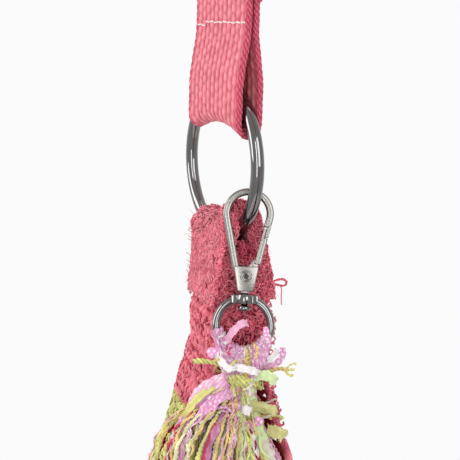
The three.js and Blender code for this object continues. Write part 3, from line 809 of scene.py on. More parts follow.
TAB_CELLS, TAB_EDGE_CELLS = 54, 7
FACE_LOOPS, SIDE_LOOPS, EAR_LOOPS, FOLD_LOOPS = 1900, 1100, 1000, 420
HAIRS, WHISKERS = 1100, 9


def tab_strand(share):
    angle = math.radians(lerp(-TAB_TURN_OUT, TAB_TURN_IN, share))
    start = np.array([math.sin(angle), -math.cos(angle)]) * RING_RADIUS
    end = np.array([lerp(1.8 - TAB_OUT, TAB_IN, share), -TAB_DROP])
    knee = np.array([end[0], start[1] - abs(end[0] - start[0]) / math.tan(abs(angle) + 0.2)])
    return start, end, knee


def tab_point(share, step, stand):
    """A point of the tab in its corner's frame: step runs 0 to 1 up the front leg, to 2 over the wire
    and to 3 down the back leg. stand is the distance from the tab's inner face."""
    start, end, knee = tab_strand(share)
    inner = WIRE + SEAT_GAP
    if 1 <= step <= 2:
        angle = np.pi * (step - 1)
        middle = start * (1 - (inner + stand) * math.sin(angle) / RING_RADIUS)
        return np.array([middle[0], -(inner + stand) * math.cos(angle), middle[1]])
    t = 1 - step if step < 1 else step - 2
    flat = (1 - t) ** 2 * start + 2 * t * (1 - t) * knee + t * t * end
    ear = float(bag_side(HALF_SPAN - flat[0], max(-flat[1], EAR_TOP))) + SEAT_GAP
    apart = lerp(inner, max(inner, ear), smooth(-flat[1], -start[1], EAR_TOP))
    sign = -1 if step < 1 else 1
    return np.array([flat[0], sign * (apart + stand), flat[1]])


def fold_puff(share, step):
    """How much the knit puffs up over the wire, most at the near end."""
    return lerp(0.8, 3.2, smooth(share, 0.5, 0.95)) * math.sin(np.pi * min(1, max(0, step - 1)))


def tab_surface(side):
    """Grids of the tab: points, outward directions, share across, stand and distance along."""
    steps = np.r_[np.linspace(0, 1, 46), np.linspace(1, 2, 22)[1:], np.linspace(2, 3, 46)[1:]]
    flat_cells, edge_cells = TAB_CELLS, TAB_EDGE_CELLS
    flat = np.linspace(0, 1, flat_cells)
    turn = np.pi * (np.arange(edge_cells) + 0.5) / edge_cells
    shares = np.r_[flat, 1 + 0 * turn, flat[::-1], 0 * turn]
    stands = np.r_[np.full(flat_cells, TAB_THICK), TAB_THICK / 2 * (1 + np.cos(turn)),
                   np.zeros(flat_cells), TAB_THICK / 2 * (1 - np.cos(turn))]
    swell = np.r_[0 * flat, np.sin(turn), 0 * flat, -np.sin(turn)]
    puffed = [[t * (1 + fold_puff(c, step) / TAB_THICK) for c, t in zip(shares, stands)] for step in steps]
    points = np.array([[tab_point(c, step, t) for c, t in zip(shares, row)]
                       for step, row in zip(steps, puffed)])
    outer = np.array([[tab_point(c, step, TAB_THICK) for c in shares] for step in steps])
    inner = np.array([[tab_point(c, step, 0) for c in shares] for step in steps])
    through = unit(outer - inner)
    across = unit(np.gradient(outer[:, :flat_cells], axis=1).mean(1, keepdims=True))
    lean = np.r_[np.ones(flat_cells), np.cos(turn), -np.ones(flat_cells), -np.cos(turn)]
    normal = unit(through * lean[None, :, None] + across * swell[None, :, None])
    mirror = np.array([-side, 1, 1])
    shift = np.array([side * HALF_SPAN, 0, -STRAP_DROP])
    gone = travelled(outer[:, 0])
    return points * mirror + shift, normal * mirror, shares, stands, gone, flat_cells, edge_cells


def build_tab(side, word):
    points, normal, shares, stands, gone, flat_cells, edge_cells = tab_surface(side)
    s, d = np.meshgrid(shares * (TAB_OUT + TAB_IN), gone)
    where = np.stack([s, d, stands[None] + s * 0 + side * 50], -1)
    streak = noise(where * [1, 0.25, 1], 1.2, 21)
    grain = noise(where, 0.9, 22)
    lump = noise(where, 4.5, 23)
    height = np.clip(0.5 + 0.3 * streak + 0.35 * grain + 0.25 * lump, 0, 1)
    surface = points + normal * lerp(-0.9, 0.35, height)[..., None]
    # Painted shade: the knit darkens where its surface sinks, by the same height that moves it.
    tint = mix(srgb(200, 74, 98), srgb(242, 152, 162), height)
    batch = Batch()
    batch.grid(surface, tint, wrap_columns=True)
    end_caps(batch, surface, flat_cells, edge_cells)
    made = orient(batch.build("tab_knit_" + word, knit))
    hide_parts("tab_" + word)
    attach(made, "root")
    return points, normal, shares


def scatter(points, normal, count, keep=None):
    """Random places on a grid of points, spread evenly by area: positions, normals and row direction."""
    sides = [np.linalg.norm(np.diff(points, axis=0)[:, :-1], axis=-1),
             np.linalg.norm(np.diff(points, axis=1)[:-1], axis=-1)]
    weight = sides[0] * sides[1]
    if keep is not None:
        weight = weight * keep[:-1, :-1]
    pick = rng.choice(weight.size, size=count, p=(weight / weight.sum()).ravel())
    i, j = np.unravel_index(pick, weight.shape)
    u, v = rng.random((2, count, 1))
    at = points[i, j] * (1 - u) * (1 - v) + points[i + 1, j] * u * (1 - v)
    at = at + points[i, j + 1] * (1 - u) * v + points[i + 1, j + 1] * u * v
    down = unit(points[i + 1, j] - points[i, j])
    return at, unit(normal[i, j]), down, i, j


def turned(along, normal, angle):
    """Directions along a surface, turned in it by an angle each."""
    aside = np.cross(normal, along)
    return unit(along * np.cos(angle)[:, None] + aside * np.sin(angle)[:, None])


def wild_loops(batch, at, out, down, long, high, tints):
    """Loops at random angles, their lengths and heights drawn between two limits each."""
    along = turned(down, out, rng.uniform(0, np.pi, len(at)))
    batch.loops(at, out, along, rng.uniform(*long, len(at)), rng.uniform(*high, len(at)), 0.36, tints)


def dress_tab(side, word, points, normal, shares):
    """The tab's yarn: flat upright loops on its faces, wild ones on its inner edge and beside it."""
    batch = Batch()
    loose = 1.0 if side < 0 else 0.6
    faces = np.zeros(points.shape[:2])
    faces[:, :TAB_CELLS] = 1
    at, out, down, i, j = scatter(points, normal, int(FACE_LOOPS * loose), faces)
    nearness = shares[j]
    wild = smooth(nearness, 0.55, 0.95)
    angle = rng.normal(0, 1, len(at)) * (0.28 + 1.1 * wild)
    long = rng.uniform(1.8, 3.6, len(at))
    high = rng.uniform(0.35, 0.7, len(at)) + 0.5 * wild * rng.random(len(at))
    tints = mix(srgb(206, 78, 104), srgb(246, 158, 168), rng.random(len(at)) ** 0.6 * (1 - 0.25 * wild))
    batch.loops(at, out, turned(down, out, angle), long, high, 0.33, tints)
    edge = np.zeros(points.shape[:2])
    edge[:, TAB_CELLS - 4:TAB_CELLS + TAB_EDGE_CELLS + 5] = 1
    at, out, down, i, j = scatter(points, normal, int(SIDE_LOOPS * loose), edge)
    angle = rng.uniform(0, np.pi, len(at))
    tints = mix(srgb(184, 36, 72), srgb(246, 136, 152), rng.random(len(at)) ** 0.6)
    batch.loops(at, out, turned(down, out, angle), rng.uniform(1.6, 3.2, len(at)),
                rng.uniform(0.4, 1.2, len(at)), 0.34, tints)
    # The ear's edge between the tab's two legs, and the hollow below it
    drops = np.linspace(EAR_TOP + 1, 104, 60)
    reach = rim_reach(drops)
    depth = bag_side(reach, drops) + 0.5
    across = np.linspace(-1, 1, 12)
    grid = np.stack([np.broadcast_to((side * (reach - 0.6))[:, None], (60, 12)), depth[:, None] * across,
                     np.broadcast_to((-STRAP_DROP - drops)[:, None], (60, 12))], -1)
    face = np.broadcast_to(np.array([-side, 0.0, 0.0]), grid.shape)
    solid_face = np.broadcast_to((drops < NECK_DROP + 1)[:, None], (60, 12)).astype(float)
    solid_face = solid_face + np.broadcast_to((np.abs(across) > 0.8)[None, :], (60, 12))
    at, out, down, i, j = scatter(grid, face, int(EAR_LOOPS * loose), np.minimum(1, solid_face))
    tints = mix(srgb(186, 34, 70), srgb(248, 138, 154), rng.random(len(at)) ** 0.6)
    wild_loops(batch, at, out, down, (1.8, 3.4), (0.5, 1.5), tints)
    # The loops that fill the fold's near end, between the wire and the ear's top
    drop = rng.uniform(EAR_TOP - 4.2, EAR_TOP + 3, FOLD_LOOPS)
    open_by = np.clip((drop - EAR_TOP + 5.2) / 5, 0.25, 1)
    at = np.stack([side * (HALF_SPAN - EAR_IN + rng.uniform(-0.5, 4, FOLD_LOOPS)),
                   rng.uniform(-1, 1, FOLD_LOOPS) * 5.2 * open_by, -STRAP_DROP - drop], -1)
    out = unit(np.array([-side, 0, 0.2]) + rng.normal(0, 0.3, (FOLD_LOOPS, 3)))
    down = unit(np.cross(out, [0, 1.0, 0.1]))
    # Painted shade: these loops are darker, as the gap between the tab's legs lies in shadow.
    tints = mix(srgb(150, 12, 44), srgb(226, 96, 118), rng.random(FOLD_LOOPS))
    wild_loops(batch, at, out, down, (1.8, 3.2), (0.6, 1.3), tints)
    obj = batch.build("tab_loops_" + word, knit)
    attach(obj, "root")
    hair = Batch()
    at, out, down, i, j = scatter(points, normal, int(HAIRS * loose), np.maximum(faces, edge))
    lean = unit(out * rng.uniform(0.3, 1, (len(at), 1)) + rng.normal(0, 0.6, (len(at), 3)))
    bend = rng.normal(0, 0.5, (len(at), 3))
    long = rng.uniform(1.2, 2.6, (len(at), 1))
    paths = np.stack([at + lean * long * t + bend * long * t * t * 0.6 for t in (0, 0.35, 0.7, 1)], 1)
    tints = mix(MID_PINK, LIGHT_PINK * 1.1, rng.random(len(at)))
    hair.tubes(paths, np.array([0.07, 0.06, 0.05, 0.03]), tints, 3)
    far = np.zeros(points.shape[:2])
    far[4:40, :2] = 1
    at, out, down, i, j = scatter(points, normal, WHISKERS, far)
    lean = unit(np.array([side * 0.5, -0.8, 0.35]) + rng.normal(0, 0.22, (len(at), 3)))
    long = rng.uniform(1.2, 2.4, (len(at), 1))
    paths = np.stack([at + lean * long * t + [0, 0, 0.5 * t * t] for t in (0, 0.35, 0.7, 1)], 1)
    hair.tubes(paths, np.array([0.11, 0.1, 0.09, 0.07]), np.tile(srgb(132, 84, 98), (len(at), 1)), 4)
    obj = hair.build("tab_fuzz_" + word, knit)
    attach(obj, "root")


for tab_side, tab_word in ((-1, "left"), (1, "right")):
    dress_tab(tab_side, tab_word, *build_tab(tab_side, tab_word))


BAG_LOOPS = {"out": (1900, 900), "in": (1000, 400)}  # on the left half and on the right half


def dress_bag():
    """The bag's yarn: loops along its rim and on its ears, and a twisted cord round its mouth."""
    loops, cord = Batch(), Batch()
    for side, which, points, normal, drops in SKINS:
        near = side < 0
        keep = (drops < 175)[:, None] * np.ones(points.shape[:2])
        keep = keep * (1 - 0.75 * smooth(drops, 120, 175))[:, None]
        count = BAG_LOOPS[which][0 if near else 1]
        at, out, down, i, j = scatter(points, normal, count, keep)
        tints = band(at, rng.random(len(at)), which == "in")
        wild_loops(loops, at, out, down, (1.8, 3.4), (0.3, 0.8), tints)
    for side in (-1, 1):
        for front in (-1, 1):
            drops = np.linspace(NECK_DROP - 18, MOUTH_DROP, 420)
            reach = rim_reach(drops)
            x = side * reach
            y = front * (bag_side(reach, drops) - BAG_WALL / 2)
            rim = flared(np.stack([x, y, -STRAP_DROP - drops + 0.6], -1))
            gone = travelled(rim)
            even = np.arange(0, gone[-1], 0.55)
            rim = resampled(even, gone, rim)
            rim = rim + np.stack([noise(rim, 6, 41 + k) for k in range(3)], -1) * 0.5
            shade = mix(srgb(206, 76, 102), srgb(244, 146, 158), 0.5 + 0.5 * noise(rim, 5, 44))
            plied(cord, rim, 1.45, shade, pitch=5.2, plies=3, sides=4)
            step = unit(np.gradient(rim, axis=0))
            pick = np.arange(3, len(rim) - 3, 5)
            at = rim[pick] + rng.normal(0, 0.3, (len(pick), 3))
            out = unit(np.cross(step[pick], [0, front, 0]))
            out = out * np.where(out[:, :1] * side > 0, -1, 1) + rng.normal(0, 0.25, (len(pick), 3))
            tints = mix(srgb(184, 40, 74), srgb(240, 130, 146), rng.random(len(pick)))
            loops.loops(at, unit(out), step[pick], rng.uniform(2.6, 4.4, len(pick)),
                        rng.uniform(1.2, 2.4, len(pick)), 0.42, tints)
    for batch, name in ((loops, "bag_loops"), (cord, "bag_rim_cord")):
        obj = batch.build(name, knit)
        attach(obj, "root")


def plied(batch, path, radius, tint, pitch=3.2, plies=2, sides=4):
    """Twisted yarn along a path."""
    along = unit(np.gradient(path, axis=0))
    first = unit(np.cross(along, [0.2, 0.95, 0.15]))
    second = np.cross(along, first)
    gone = travelled(path)
    start = rng.uniform(0, 2 * np.pi)
    swell = 1 + 0.18 * np.sin(gone / 3.1 + start) + 0.1 * np.sin(gone / 1.3)
    for ply in range(plies):
        angle = start + 2 * np.pi * (gone / pitch + ply / plies)
        turn = first * np.cos(angle)[:, None] + second * np.sin(angle)[:, None]
        centre = path + turn * (radius * 0.55 * swell)[:, None]
        fade = 0.85 + 0.15 * rng.random() + 0.12 * np.sin(gone / 1.7 + ply)[:, None]
        batch.tube(centre, radius * 0.62 * swell, np.asarray(tint) * fade, sides)


HOLES = ((260, 321, 0.8), (265, 389, 1.0), (264.7, 395.5, 0.8), (268.5, 417, 0.9), (276, 438, 1.1))
PIERCED_PAST = -80
LOOSE_LOOP = ((274, 281), (279, 279.5), (284, 279.5), (286.5, 282.5),
              (284.5, 285.5), (280.5, 285.5), (274, 284))
LOOSE_TAIL = ((280.5, 285), (281.6, 290), (281.2, 297), (281.5, 305))
LOOSE_DEPTH = 322


def pierce(obj):
    """Opens the knit where the picture shows light through the ear's back wall."""
    mesh = bmesh.new()
    mesh.from_mesh(obj.data)
    gone = set()
    for x, y, radius in HOLES:
        ray = sight(x, y)
        for part in mesh.faces:
            centre = np.array(part.calc_center_median()) / MM
            offset = centre - camera_at / MM
            beside = np.linalg.norm(offset - ray * (offset @ ray))
            if centre[0] < PIERCED_PAST and centre[1] > 0 and beside < radius:
                gone.add(part)
    bmesh.ops.delete(mesh, geom=list(gone), context="FACES")
    mesh.to_mesh(obj.data)
    mesh.free()


def dress_loose_end():
    """A pulled loop on the tab's back leg and the thread that hangs from it."""
    batch = Batch()
    loop = [seen_at(x, y, LOOSE_DEPTH) for x, y in LOOSE_LOOP]
    plied(batch, curve_through(loop, 50), 0.42, MID_PINK, pitch=2.2)
    tail = [seen_at(x, y, LOOSE_DEPTH) for x, y in LOOSE_TAIL]
    batch.tube(curve_through(tail, 20), 0.22, MID_PINK, 5)
    obj = batch.build("tab_loose_loop", knit)
    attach(obj, "root")


# Clasp

def clasp_frame():
    turn, lean, roll = (math.radians(v) for v in (CLASP_TURN, CLASP_LEAN, CLASP_ROLL))
    face = np.array([math.sin(turn), -math.cos(turn), 0])
    across = np.array([math.cos(turn), math.sin(turn), 0])
    down = face * math.sin(lean) - across * math.sin(roll)
    down[2] = -math.sqrt(1 - down @ down)
    up = -down
    right = unit(across - up * (across @ up))
    behind = np.cross(up, right)
    seat = math.radians(CLASP_SEAT)
    wire = np.array([math.cos(seat), 0, -math.sin(seat)]) * RING_RADIUS
    along = np.array([math.sin(seat), 0, math.cos(seat)])
    apart = unit(np.cross(right, along))
    if apart[2] < 0:
        apart = -apart
    middle = wire + apart * (WIRE + math.hypot(HOOK_BAR, HOOK_THICK) / 2 + SEAT_GAP) - right * CLASP_SLIDE
    middle = middle + [-HALF_SPAN, 0, -STRAP_DROP]
    return np.stack([right, behind, up], -1), middle


CLASP_AXES, CLASP_AT = clasp_frame()
TOP_Z = HOOK_BAR / 2
MIDDLE_Z = TOP_Z - HOOK_WIDE / 2
BASE_TOP_Z = TOP_Z - HOOK_LONG + BASE_HIGH
BASE_FOOT_Z = TOP_Z - HOOK_LONG
RIVET_Z = TOP_Z - RIVET_DROP
COLLAR_TOP = BASE_FOOT_Z - NECK_HIGH
COLLAR_FOOT = COLLAR_TOP - COLLAR_HIGH
EYE_Z = COLLAR_TOP - EYE_WIDE / 2
EYE_RADIUS = (EYE_WIDE - EYE_WIRE) / 2
EYE_LOW = EYE_Z - EYE_RADIUS


def to_world(points):
    """Points of the clasp's frame in the bag's frame, in millimetres."""
    return np.asarray(points, float) @ CLASP_AXES.T + CLASP_AT


def clasp_object(obj):
    """An object modelled in the clasp's frame in metres, with its mesh moved to the bag's frame."""
    turn = Matrix([list(row) for row in CLASP_AXES]).to_4x4()
    obj.data.transform(Matrix.Translation(Vector(CLASP_AT * MM)) @ turn)
    obj.data.update()
    return obj


def rounded(name, outline, near, far, bevel, material, segments=3):
    """A plate from an outline in x and z, between two y values, with rounded edges."""
    mesh = bmesh.new()
    front = [mesh.verts.new((x * MM, near * MM, z * MM)) for x, z in outline]
    back = [mesh.verts.new((x * MM, far * MM, z * MM)) for x, z in outline]
    mesh.faces.new(front)
    mesh.faces.new(back[::-1])
    count = len(outline)
    for k in range(count):
        mesh.faces.new((front[k], back[k], back[(k + 1) % count], front[(k + 1) % count]))
    bmesh.ops.recalc_face_normals(mesh, faces=mesh.faces)
    sharp = [e for e in mesh.edges if len(e.link_faces) == 2 and e.calc_face_angle() > 0.5]
    bmesh.ops.bevel(mesh, geom=sharp, offset=bevel * MM, segments=segments, profile=0.5, affect="EDGES")
    data = bpy.data.meshes.new(name)
    mesh.to_mesh(data)
    mesh.free()
    obj = place(name, data, material)
    data.shade_smooth()
    return obj


def lathe(name, profile, material, axis="z", at=(0, 0, 0), steps=48):
    """A turned form from radius and height pairs, about z or about y."""
    turn = 2 * np.pi * np.arange(steps) / steps
    radius, high = np.array(profile, float).T
    flat_a = radius[:, None] * np.cos(turn)
    flat_b = radius[:, None] * np.sin(turn)
    along = np.broadcast_to(high[:, None], flat_a.shape)
    order = (flat_a, flat_b, along) if axis == "z" else (flat_a, along, flat_b)
    batch = Batch()
    batch.grid(np.stack(order, -1) + np.asarray(at, float), (1, 1, 1), wrap_columns=True)
    return orient(batch.build(name, material))


def bar_section(wide, thick, corner, cells=4):
    """Corner points of a bar's rounded section, as (across, through) pairs."""
    pairs = []
    for quarter in range(4):
        cx = (wide / 2 - corner) * (1 if quarter in (0, 3) else -1)
        cy = (thick / 2 - corner) * (1 if quarter in (0, 1) else -1)
        for k in range(cells + 1):
            angle = (quarter + k / cells) * np.pi / 2
            pairs.append((cx + corner * math.cos(angle), cy + corner * math.sin(angle)))
    return np.array(pairs)


def bar(name, path, wide, thick, corner, material, shift=0.0):
    """A rounded bar along a path in x and z. shift moves it across, away from the hook's middle."""
    path = np.asarray(path, float)
    along = unit(np.gradient(path, axis=0))
    across = np.stack([along[:, 1], -along[:, 0]], -1)
    section = bar_section(wide, thick, corner)
    flat = path[:, None] + across[:, None] * (section[:, 0] + shift)[None, :, None]
    through = np.broadcast_to(section[:, 1], flat.shape[:2])
    points = np.stack([flat[..., 0], through, flat[..., 1]], -1)
    batch = Batch()
    tips = [points[:1] * 0.15 + points[:1].mean(1, keepdims=True) * 0.85]
    tips.append(points[-1:] * 0.15 + points[-1:].mean(1, keepdims=True) * 0.85)
    batch.grid(np.concatenate([tips[0], points, tips[1]]), (1, 1, 1), wrap_columns=True)
    return orient(batch.build(name, material))


def teardrop_path():
    """Middle line of the hook's bar, from the base's left up over the top and down to its right."""
    radius = HOOK_WIDE / 2 - HOOK_BAR / 2
    foot_x = (BASE_TOP + WINDOW_FOOT) / 4
    reach = math.hypot(foot_x, BASE_TOP_Z - MIDDLE_Z)
    start = math.atan2(BASE_TOP_Z - MIDDLE_Z, foot_x) + math.acos(radius / reach)
    turn = np.linspace(np.pi - start, start, 60)
    arc = np.stack([radius * np.cos(turn), MIDDLE_Z + radius * np.sin(turn)], -1)
    left = np.linspace([-foot_x, BASE_TOP_Z - 1.5], arc[0], 26)
    right = np.linspace(arc[-1], [foot_x, BASE_TOP_Z - 1.5], 26)
    return np.concatenate([left[:-1], arc, right[1:]])


def cut_path(path, from_drop, to_drop):
    """The right-hand stretch of the path between two drops from the hook's top."""
    right = path[path[:, 0] > 0]
    right = right[np.argmax(right[:, 0]):]
    zs = TOP_Z - np.linspace(from_drop, to_drop, 24)
    return np.stack([np.interp(-zs, -right[:, 1], right[:, 0]), zs], -1)


def build_clasp():
    path = teardrop_path()
    last = len(path) - 1 - np.argmax((path[::-1, 1] > TOP_Z - GATE_TIP) & (path[::-1, 0] > 0))
    parts = [bar("hook_bar", path[:last + 1], HOOK_BAR, HOOK_THICK, 0.8, satin)]
    nose = cut_path(path, GATE_TIP - 1.5, GATE_TIP + GATE_LAP)
    quarter = HOOK_BAR / 4
    parts.append(bar("hook_nose", nose, HOOK_BAR / 2 - 0.1, HOOK_THICK, 0.35, satin, shift=-quarter))
    half_top, half_foot = BASE_TOP / 2, BASE_FOOT / 2
    cheek = [(-half_top, BASE_TOP_Z), (-half_foot, BASE_FOOT_Z),
             (half_foot, BASE_FOOT_Z), (half_top, BASE_TOP_Z)]
    slot = LUG_THICK / 2 + SEAT_GAP
    parts.append(rounded("cheek_front", cheek, -BASE_THICK / 2, -slot, 0.35, satin))
    parts.append(rounded("cheek_back", cheek, slot, BASE_THICK / 2, 0.35, satin))
    inner = -LUG_WIDE / 2 - SEAT_GAP
    spine = [(-half_top + 0.1, BASE_TOP_Z - 0.1), (-half_foot + 0.1, BASE_FOOT_Z + 0.1),
             (inner, BASE_FOOT_Z + 0.1), (inner, BASE_TOP_Z - 0.1)]
    parts.append(rounded("base_spine", spine, -BASE_THICK / 2 + 0.3, BASE_THICK / 2 - 0.3, 0.1, satin))
    floor = [(-half_foot + 0.1, BASE_FOOT_Z + 1.2), (-half_foot + 0.1, BASE_FOOT_Z + 0.05),
             (half_foot - 0.1, BASE_FOOT_Z + 0.05), (half_foot - 0.1, BASE_FOOT_Z + 1.2)]
    parts.append(rounded("base_floor", floor, -BASE_THICK / 2 + 0.2, BASE_THICK / 2 - 0.2, 0.1, satin))
    head_top = COLLAR_FOOT - 2 * SEAT_GAP
    stud = STUD_WIDE / 2
    head = STUD_HEAD / 2
    foot = head_top - STUD_HEAD_HIGH
    parts.append(lathe("swivel_stud", [
        (0, BASE_FOOT_Z + 0.6), (stud, BASE_FOOT_Z + 0.6), (stud, head_top), (head - 0.3, head_top),
        (head, head_top - 0.3), (head, foot + 0.5), (head - 0.5, foot), (0, foot - 0.1),
    ], polished))
    collar_gap = BASE_FOOT_Z - COLLAR_TOP
    # The neck wears the lighter plate: painted light in the gap under the base.
    parts.append(lathe("stud_neck", [
        (stud, BASE_FOOT_Z + 0.2), (stud + 0.45, BASE_FOOT_Z + 0.1), 
        (stud + 0.45, BASE_FOOT_Z - collar_gap * 0.55), (stud + 0.1, BASE_FOOT_Z - collar_gap * 0.7),
    ], bright))
    hook = clasp_object(join("clasp_hook_plated", parts))
    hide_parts("clasp_hook")
    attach(hook, "charm")

    blade = cut_path(path, GATE_TIP + GATE_LAP + SEAT_GAP, GATE_FOOT - SEAT_GAP)
    tip = cut_path(path, GATE_TIP + SEAT_GAP, GATE_TIP + GATE_LAP + 1.5)
    parts = [bar("gate_blade", blade, HOOK_BAR - 0.1, GATE_THICK, 0.7, satin)]
    parts.append(bar("gate_tip", tip, HOOK_BAR / 2 - 0.25, GATE_THICK, 0.35, satin, shift=quarter))
    parts.append(lathe("gate_lug", [
        (0, -LUG_THICK / 2), (LUG_WIDE / 2 - 0.2, -LUG_THICK / 2), (LUG_WIDE / 2, -LUG_THICK / 2 + 0.2),
        (LUG_WIDE / 2, LUG_THICK / 2 - 0.2), (LUG_WIDE / 2 - 0.2, LUG_THICK / 2), (0, LUG_THICK / 2),
    ], satin, axis="y", at=(0, 0, RIVET_Z)))
    arm_x, arm_z = (BASE_TOP + WINDOW_FOOT) / 4, TOP_Z - GATE_FOOT
    arm = [(arm_x - 0.9, arm_z + 2), (-0.6, RIVET_Z + 1.4), (1.2, RIVET_Z - 1.2),
           (arm_x + 0.8, arm_z), (arm_x + 0.5, arm_z + 2)]
    parts.append(rounded("gate_arm", arm, -LUG_THICK / 2, LUG_THICK / 2, 0.15, satin))
    gate = clasp_object(join("clasp_gate_plated", parts))
    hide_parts("clasp_gate")
    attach(gate, "gate")

    half = BASE_THICK / 2
    rim = RIVET_HEAD / 2
    rivet_parts = []
    for sign in (-1, 1):
        rivet_parts.append(lathe("rivet_head", [
            (rim, sign * half), (rim, sign * (half + 0.25)), (rim - 0.2, sign * (half + 0.45)),
            (rim - 0.45, sign * (half + 0.5)), (rim - 0.55, sign * (half + 0.25)),
            (rim - 0.75, sign * (half + 0.2)), (rim - 0.85, sign * (half + 0.55)),
            (rim - 1.05, sign * (half + 0.6)), (rim - 1.2, sign * (half + 0.5)), (rim - 1.25, sign * half),
        ], satin, axis="y", at=(0, 0, RIVET_Z)))
        # The hollow in each rivet head, painted dark as shade.
        rivet_parts.append(lathe("rivet_hollow", [
            (rim - 1.2, sign * (half + 0.3)), (rim - 1.4, sign * (half + 0.1)),
            (0.35, sign * (half + 0.2)), (0, sign * (half + 0.35)),
        ], hollow_shade_steel, axis="y", at=(0, 0, RIVET_Z)))
    rivet = clasp_object(join("clasp_rivet_plated", rivet_parts))
    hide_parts("clasp_rivet")
    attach(rivet, "charm")

    eye_batch = Batch()
    torus(eye_batch, EYE_RADIUS, EYE_WIRE / 2, (0, 0, EYE_Z), steps=120, sides=22)
    parts = [orient(eye_batch.build("eye_wire", polished))]
    collar = COLLAR_WIDE / 2
    bore = STUD_WIDE / 2 + SEAT_GAP
    parts.append(lathe("eye_collar", [
        (bore, COLLAR_FOOT), (collar - 0.4, COLLAR_FOOT), (collar, COLLAR_FOOT + 0.4),
        (collar, COLLAR_TOP - 0.4), (collar - 0.4, COLLAR_TOP), (bore, COLLAR_TOP), (bore, COLLAR_FOOT),
    ], polished))
    for sign in (-1, 1):
        low, high = sign * collar * 0.7, sign * SHOULDER_WIDE / 2
        shoulder = [(low, COLLAR_FOOT + 0.1), (high, COLLAR_FOOT + 0.1),
                    (high, COLLAR_TOP - 0.2), (low, COLLAR_TOP - 0.2)]
        parts.append(rounded("eye_shoulder", shoulder, -EYE_WIRE / 2, EYE_WIRE / 2, 0.5, polished))
    eye = clasp_object(join("swivel_eye_plated", parts))
    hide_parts("swivel_eye")
    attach(eye, "swivel")


build_clasp()
dress_bag()
dress_loose_end()
for bag_knit in (bag_outside, bag_inside, bpy.data.objects["bag_loops"]):
    pierce(bag_knit)

# Tassel: yarns and cloth strips folded over the eye's wire and tied below it

TIE_Z = EYE_LOW - TIE_DROP


def ribbon(batch, path, wide, tint, side_axis, thick=0.35, curl=0.5, dots=None):
    """A torn strip of cloth along a path, with ragged edges and a printed row of dots."""
    path = np.asarray(path, float)
    along = unit(np.gradient(path, axis=0))
    flat = unit(side_axis - along * np.sum(along * side_axis, -1, keepdims=True))
    up = np.cross(along, flat)
    cells = 8
    share = np.linspace(-1, 1, cells)
    gone = travelled(path)
    phase = rng.uniform(0, 6)
    ragged = 1 + 0.12 * np.sin(gone * 1.7 + phase) + 0.1 * np.sin(gone * 3.9 + phase)
    half = wide / 2 * ragged
    ripple = 0.25 * np.sin(share * 5 + phase)[None, :] * np.sin(gone / 3 + phase)[:, None]
    fold = curl * (share ** 2)[None, :] * (wide / 2) + ripple
    u = share[None, :] * half[:, None]
    top = path[:, None] + flat[:, None] * u[..., None] + up[:, None] * fold[..., None]
    base = np.broadcast_to(np.asarray(tint, float), top.shape).copy()
    base *= (1 + 0.06 * np.sin(gone * 2.3 + phase))[:, None, None]
    if dots is not None:
        pitch = 1.5
        row = np.floor(gone / pitch)[:, None]
        shifted = (u / pitch + 0.5 * (row % 2)) % 1 - 0.5
        down = (gone[:, None] / pitch) % 1 - 0.5
        spot = np.clip(1.6 - 4.2 * np.hypot(shifted, down), 0, 1)
        base = mix(base, dots, spot)
    loop = np.concatenate([top, (top - up[:, None] * thick)[:, ::-1]], 1)
    loop_tint = np.concatenate([base, base[:, ::-1] * 0.9], 1)
    batch.grid(loop, loop_tint, wrap_columns=True)


LEFT_SPREAD = 12.5  # how much further than the solid the skirt spreads to its left and front


def skirt_path(angle, inside, long, start_radius, count=60, sway=1.2):
    """A yarn's line from the tie down to its end, in the clasp's frame. inside is a share of the reach."""
    direction = np.array([math.cos(angle), math.sin(angle), 0])
    aside = np.array([-math.sin(angle), math.cos(angle), 0])
    left = max(0.0, math.cos(angle - 1.12 * math.pi)) ** 1.5
    reach = (SKIRT_REACH - 2.5 + LEFT_SPREAD * left) * inside
    open_by = lerp(0.62, 0.42, left)
    top = TIE_Z + 1.5
    foot = EYE_LOW - long
    line = []
    phases = rng.uniform(0, 6.28, 2)
    for t in (0, 0.1, 0.2, 0.32, 0.5, 0.75, 1):
        stand = lerp(start_radius, reach, smooth(t, 0.0, open_by))
        wander = sway * t ** 0.6 * math.sin(phases[0] + 5 * t)
        line.append(direction * stand + aside * wander + UP * lerp(top, foot, t ** (1 + 0.25 * left)))
    path = curve_through(line, count)
    kink = np.linspace(0, TASSEL_LONG / 3.4, count) + phases[1]
    fade = smooth(np.linspace(0, 1, count), 0.02, 0.25)[:, None] * rng.uniform(0.15, 0.75)
    return path + fade * (aside * np.sin(kink * 2.1)[:, None] + direction * np.sin(kink * 3.1 + 1)[:, None])


def curl_of(start, end, bulge, count=24):
    """A short loose end from start to end, bent by bulge half way."""
    start, end, bulge = (np.asarray(v, float) for v in (start, end, bulge))
    middle = start * 0.55 + end * 0.45 + bulge
    late = end * 0.8 + start * 0.2 + bulge * 0.9
    return curve_through([start, middle, late, end], count)


PEACH = srgb(232, 204, 136)
BLUSH = srgb(234, 178, 204)
CORAL = srgb(214, 70, 100)
RUBY = srgb(184, 30, 66)


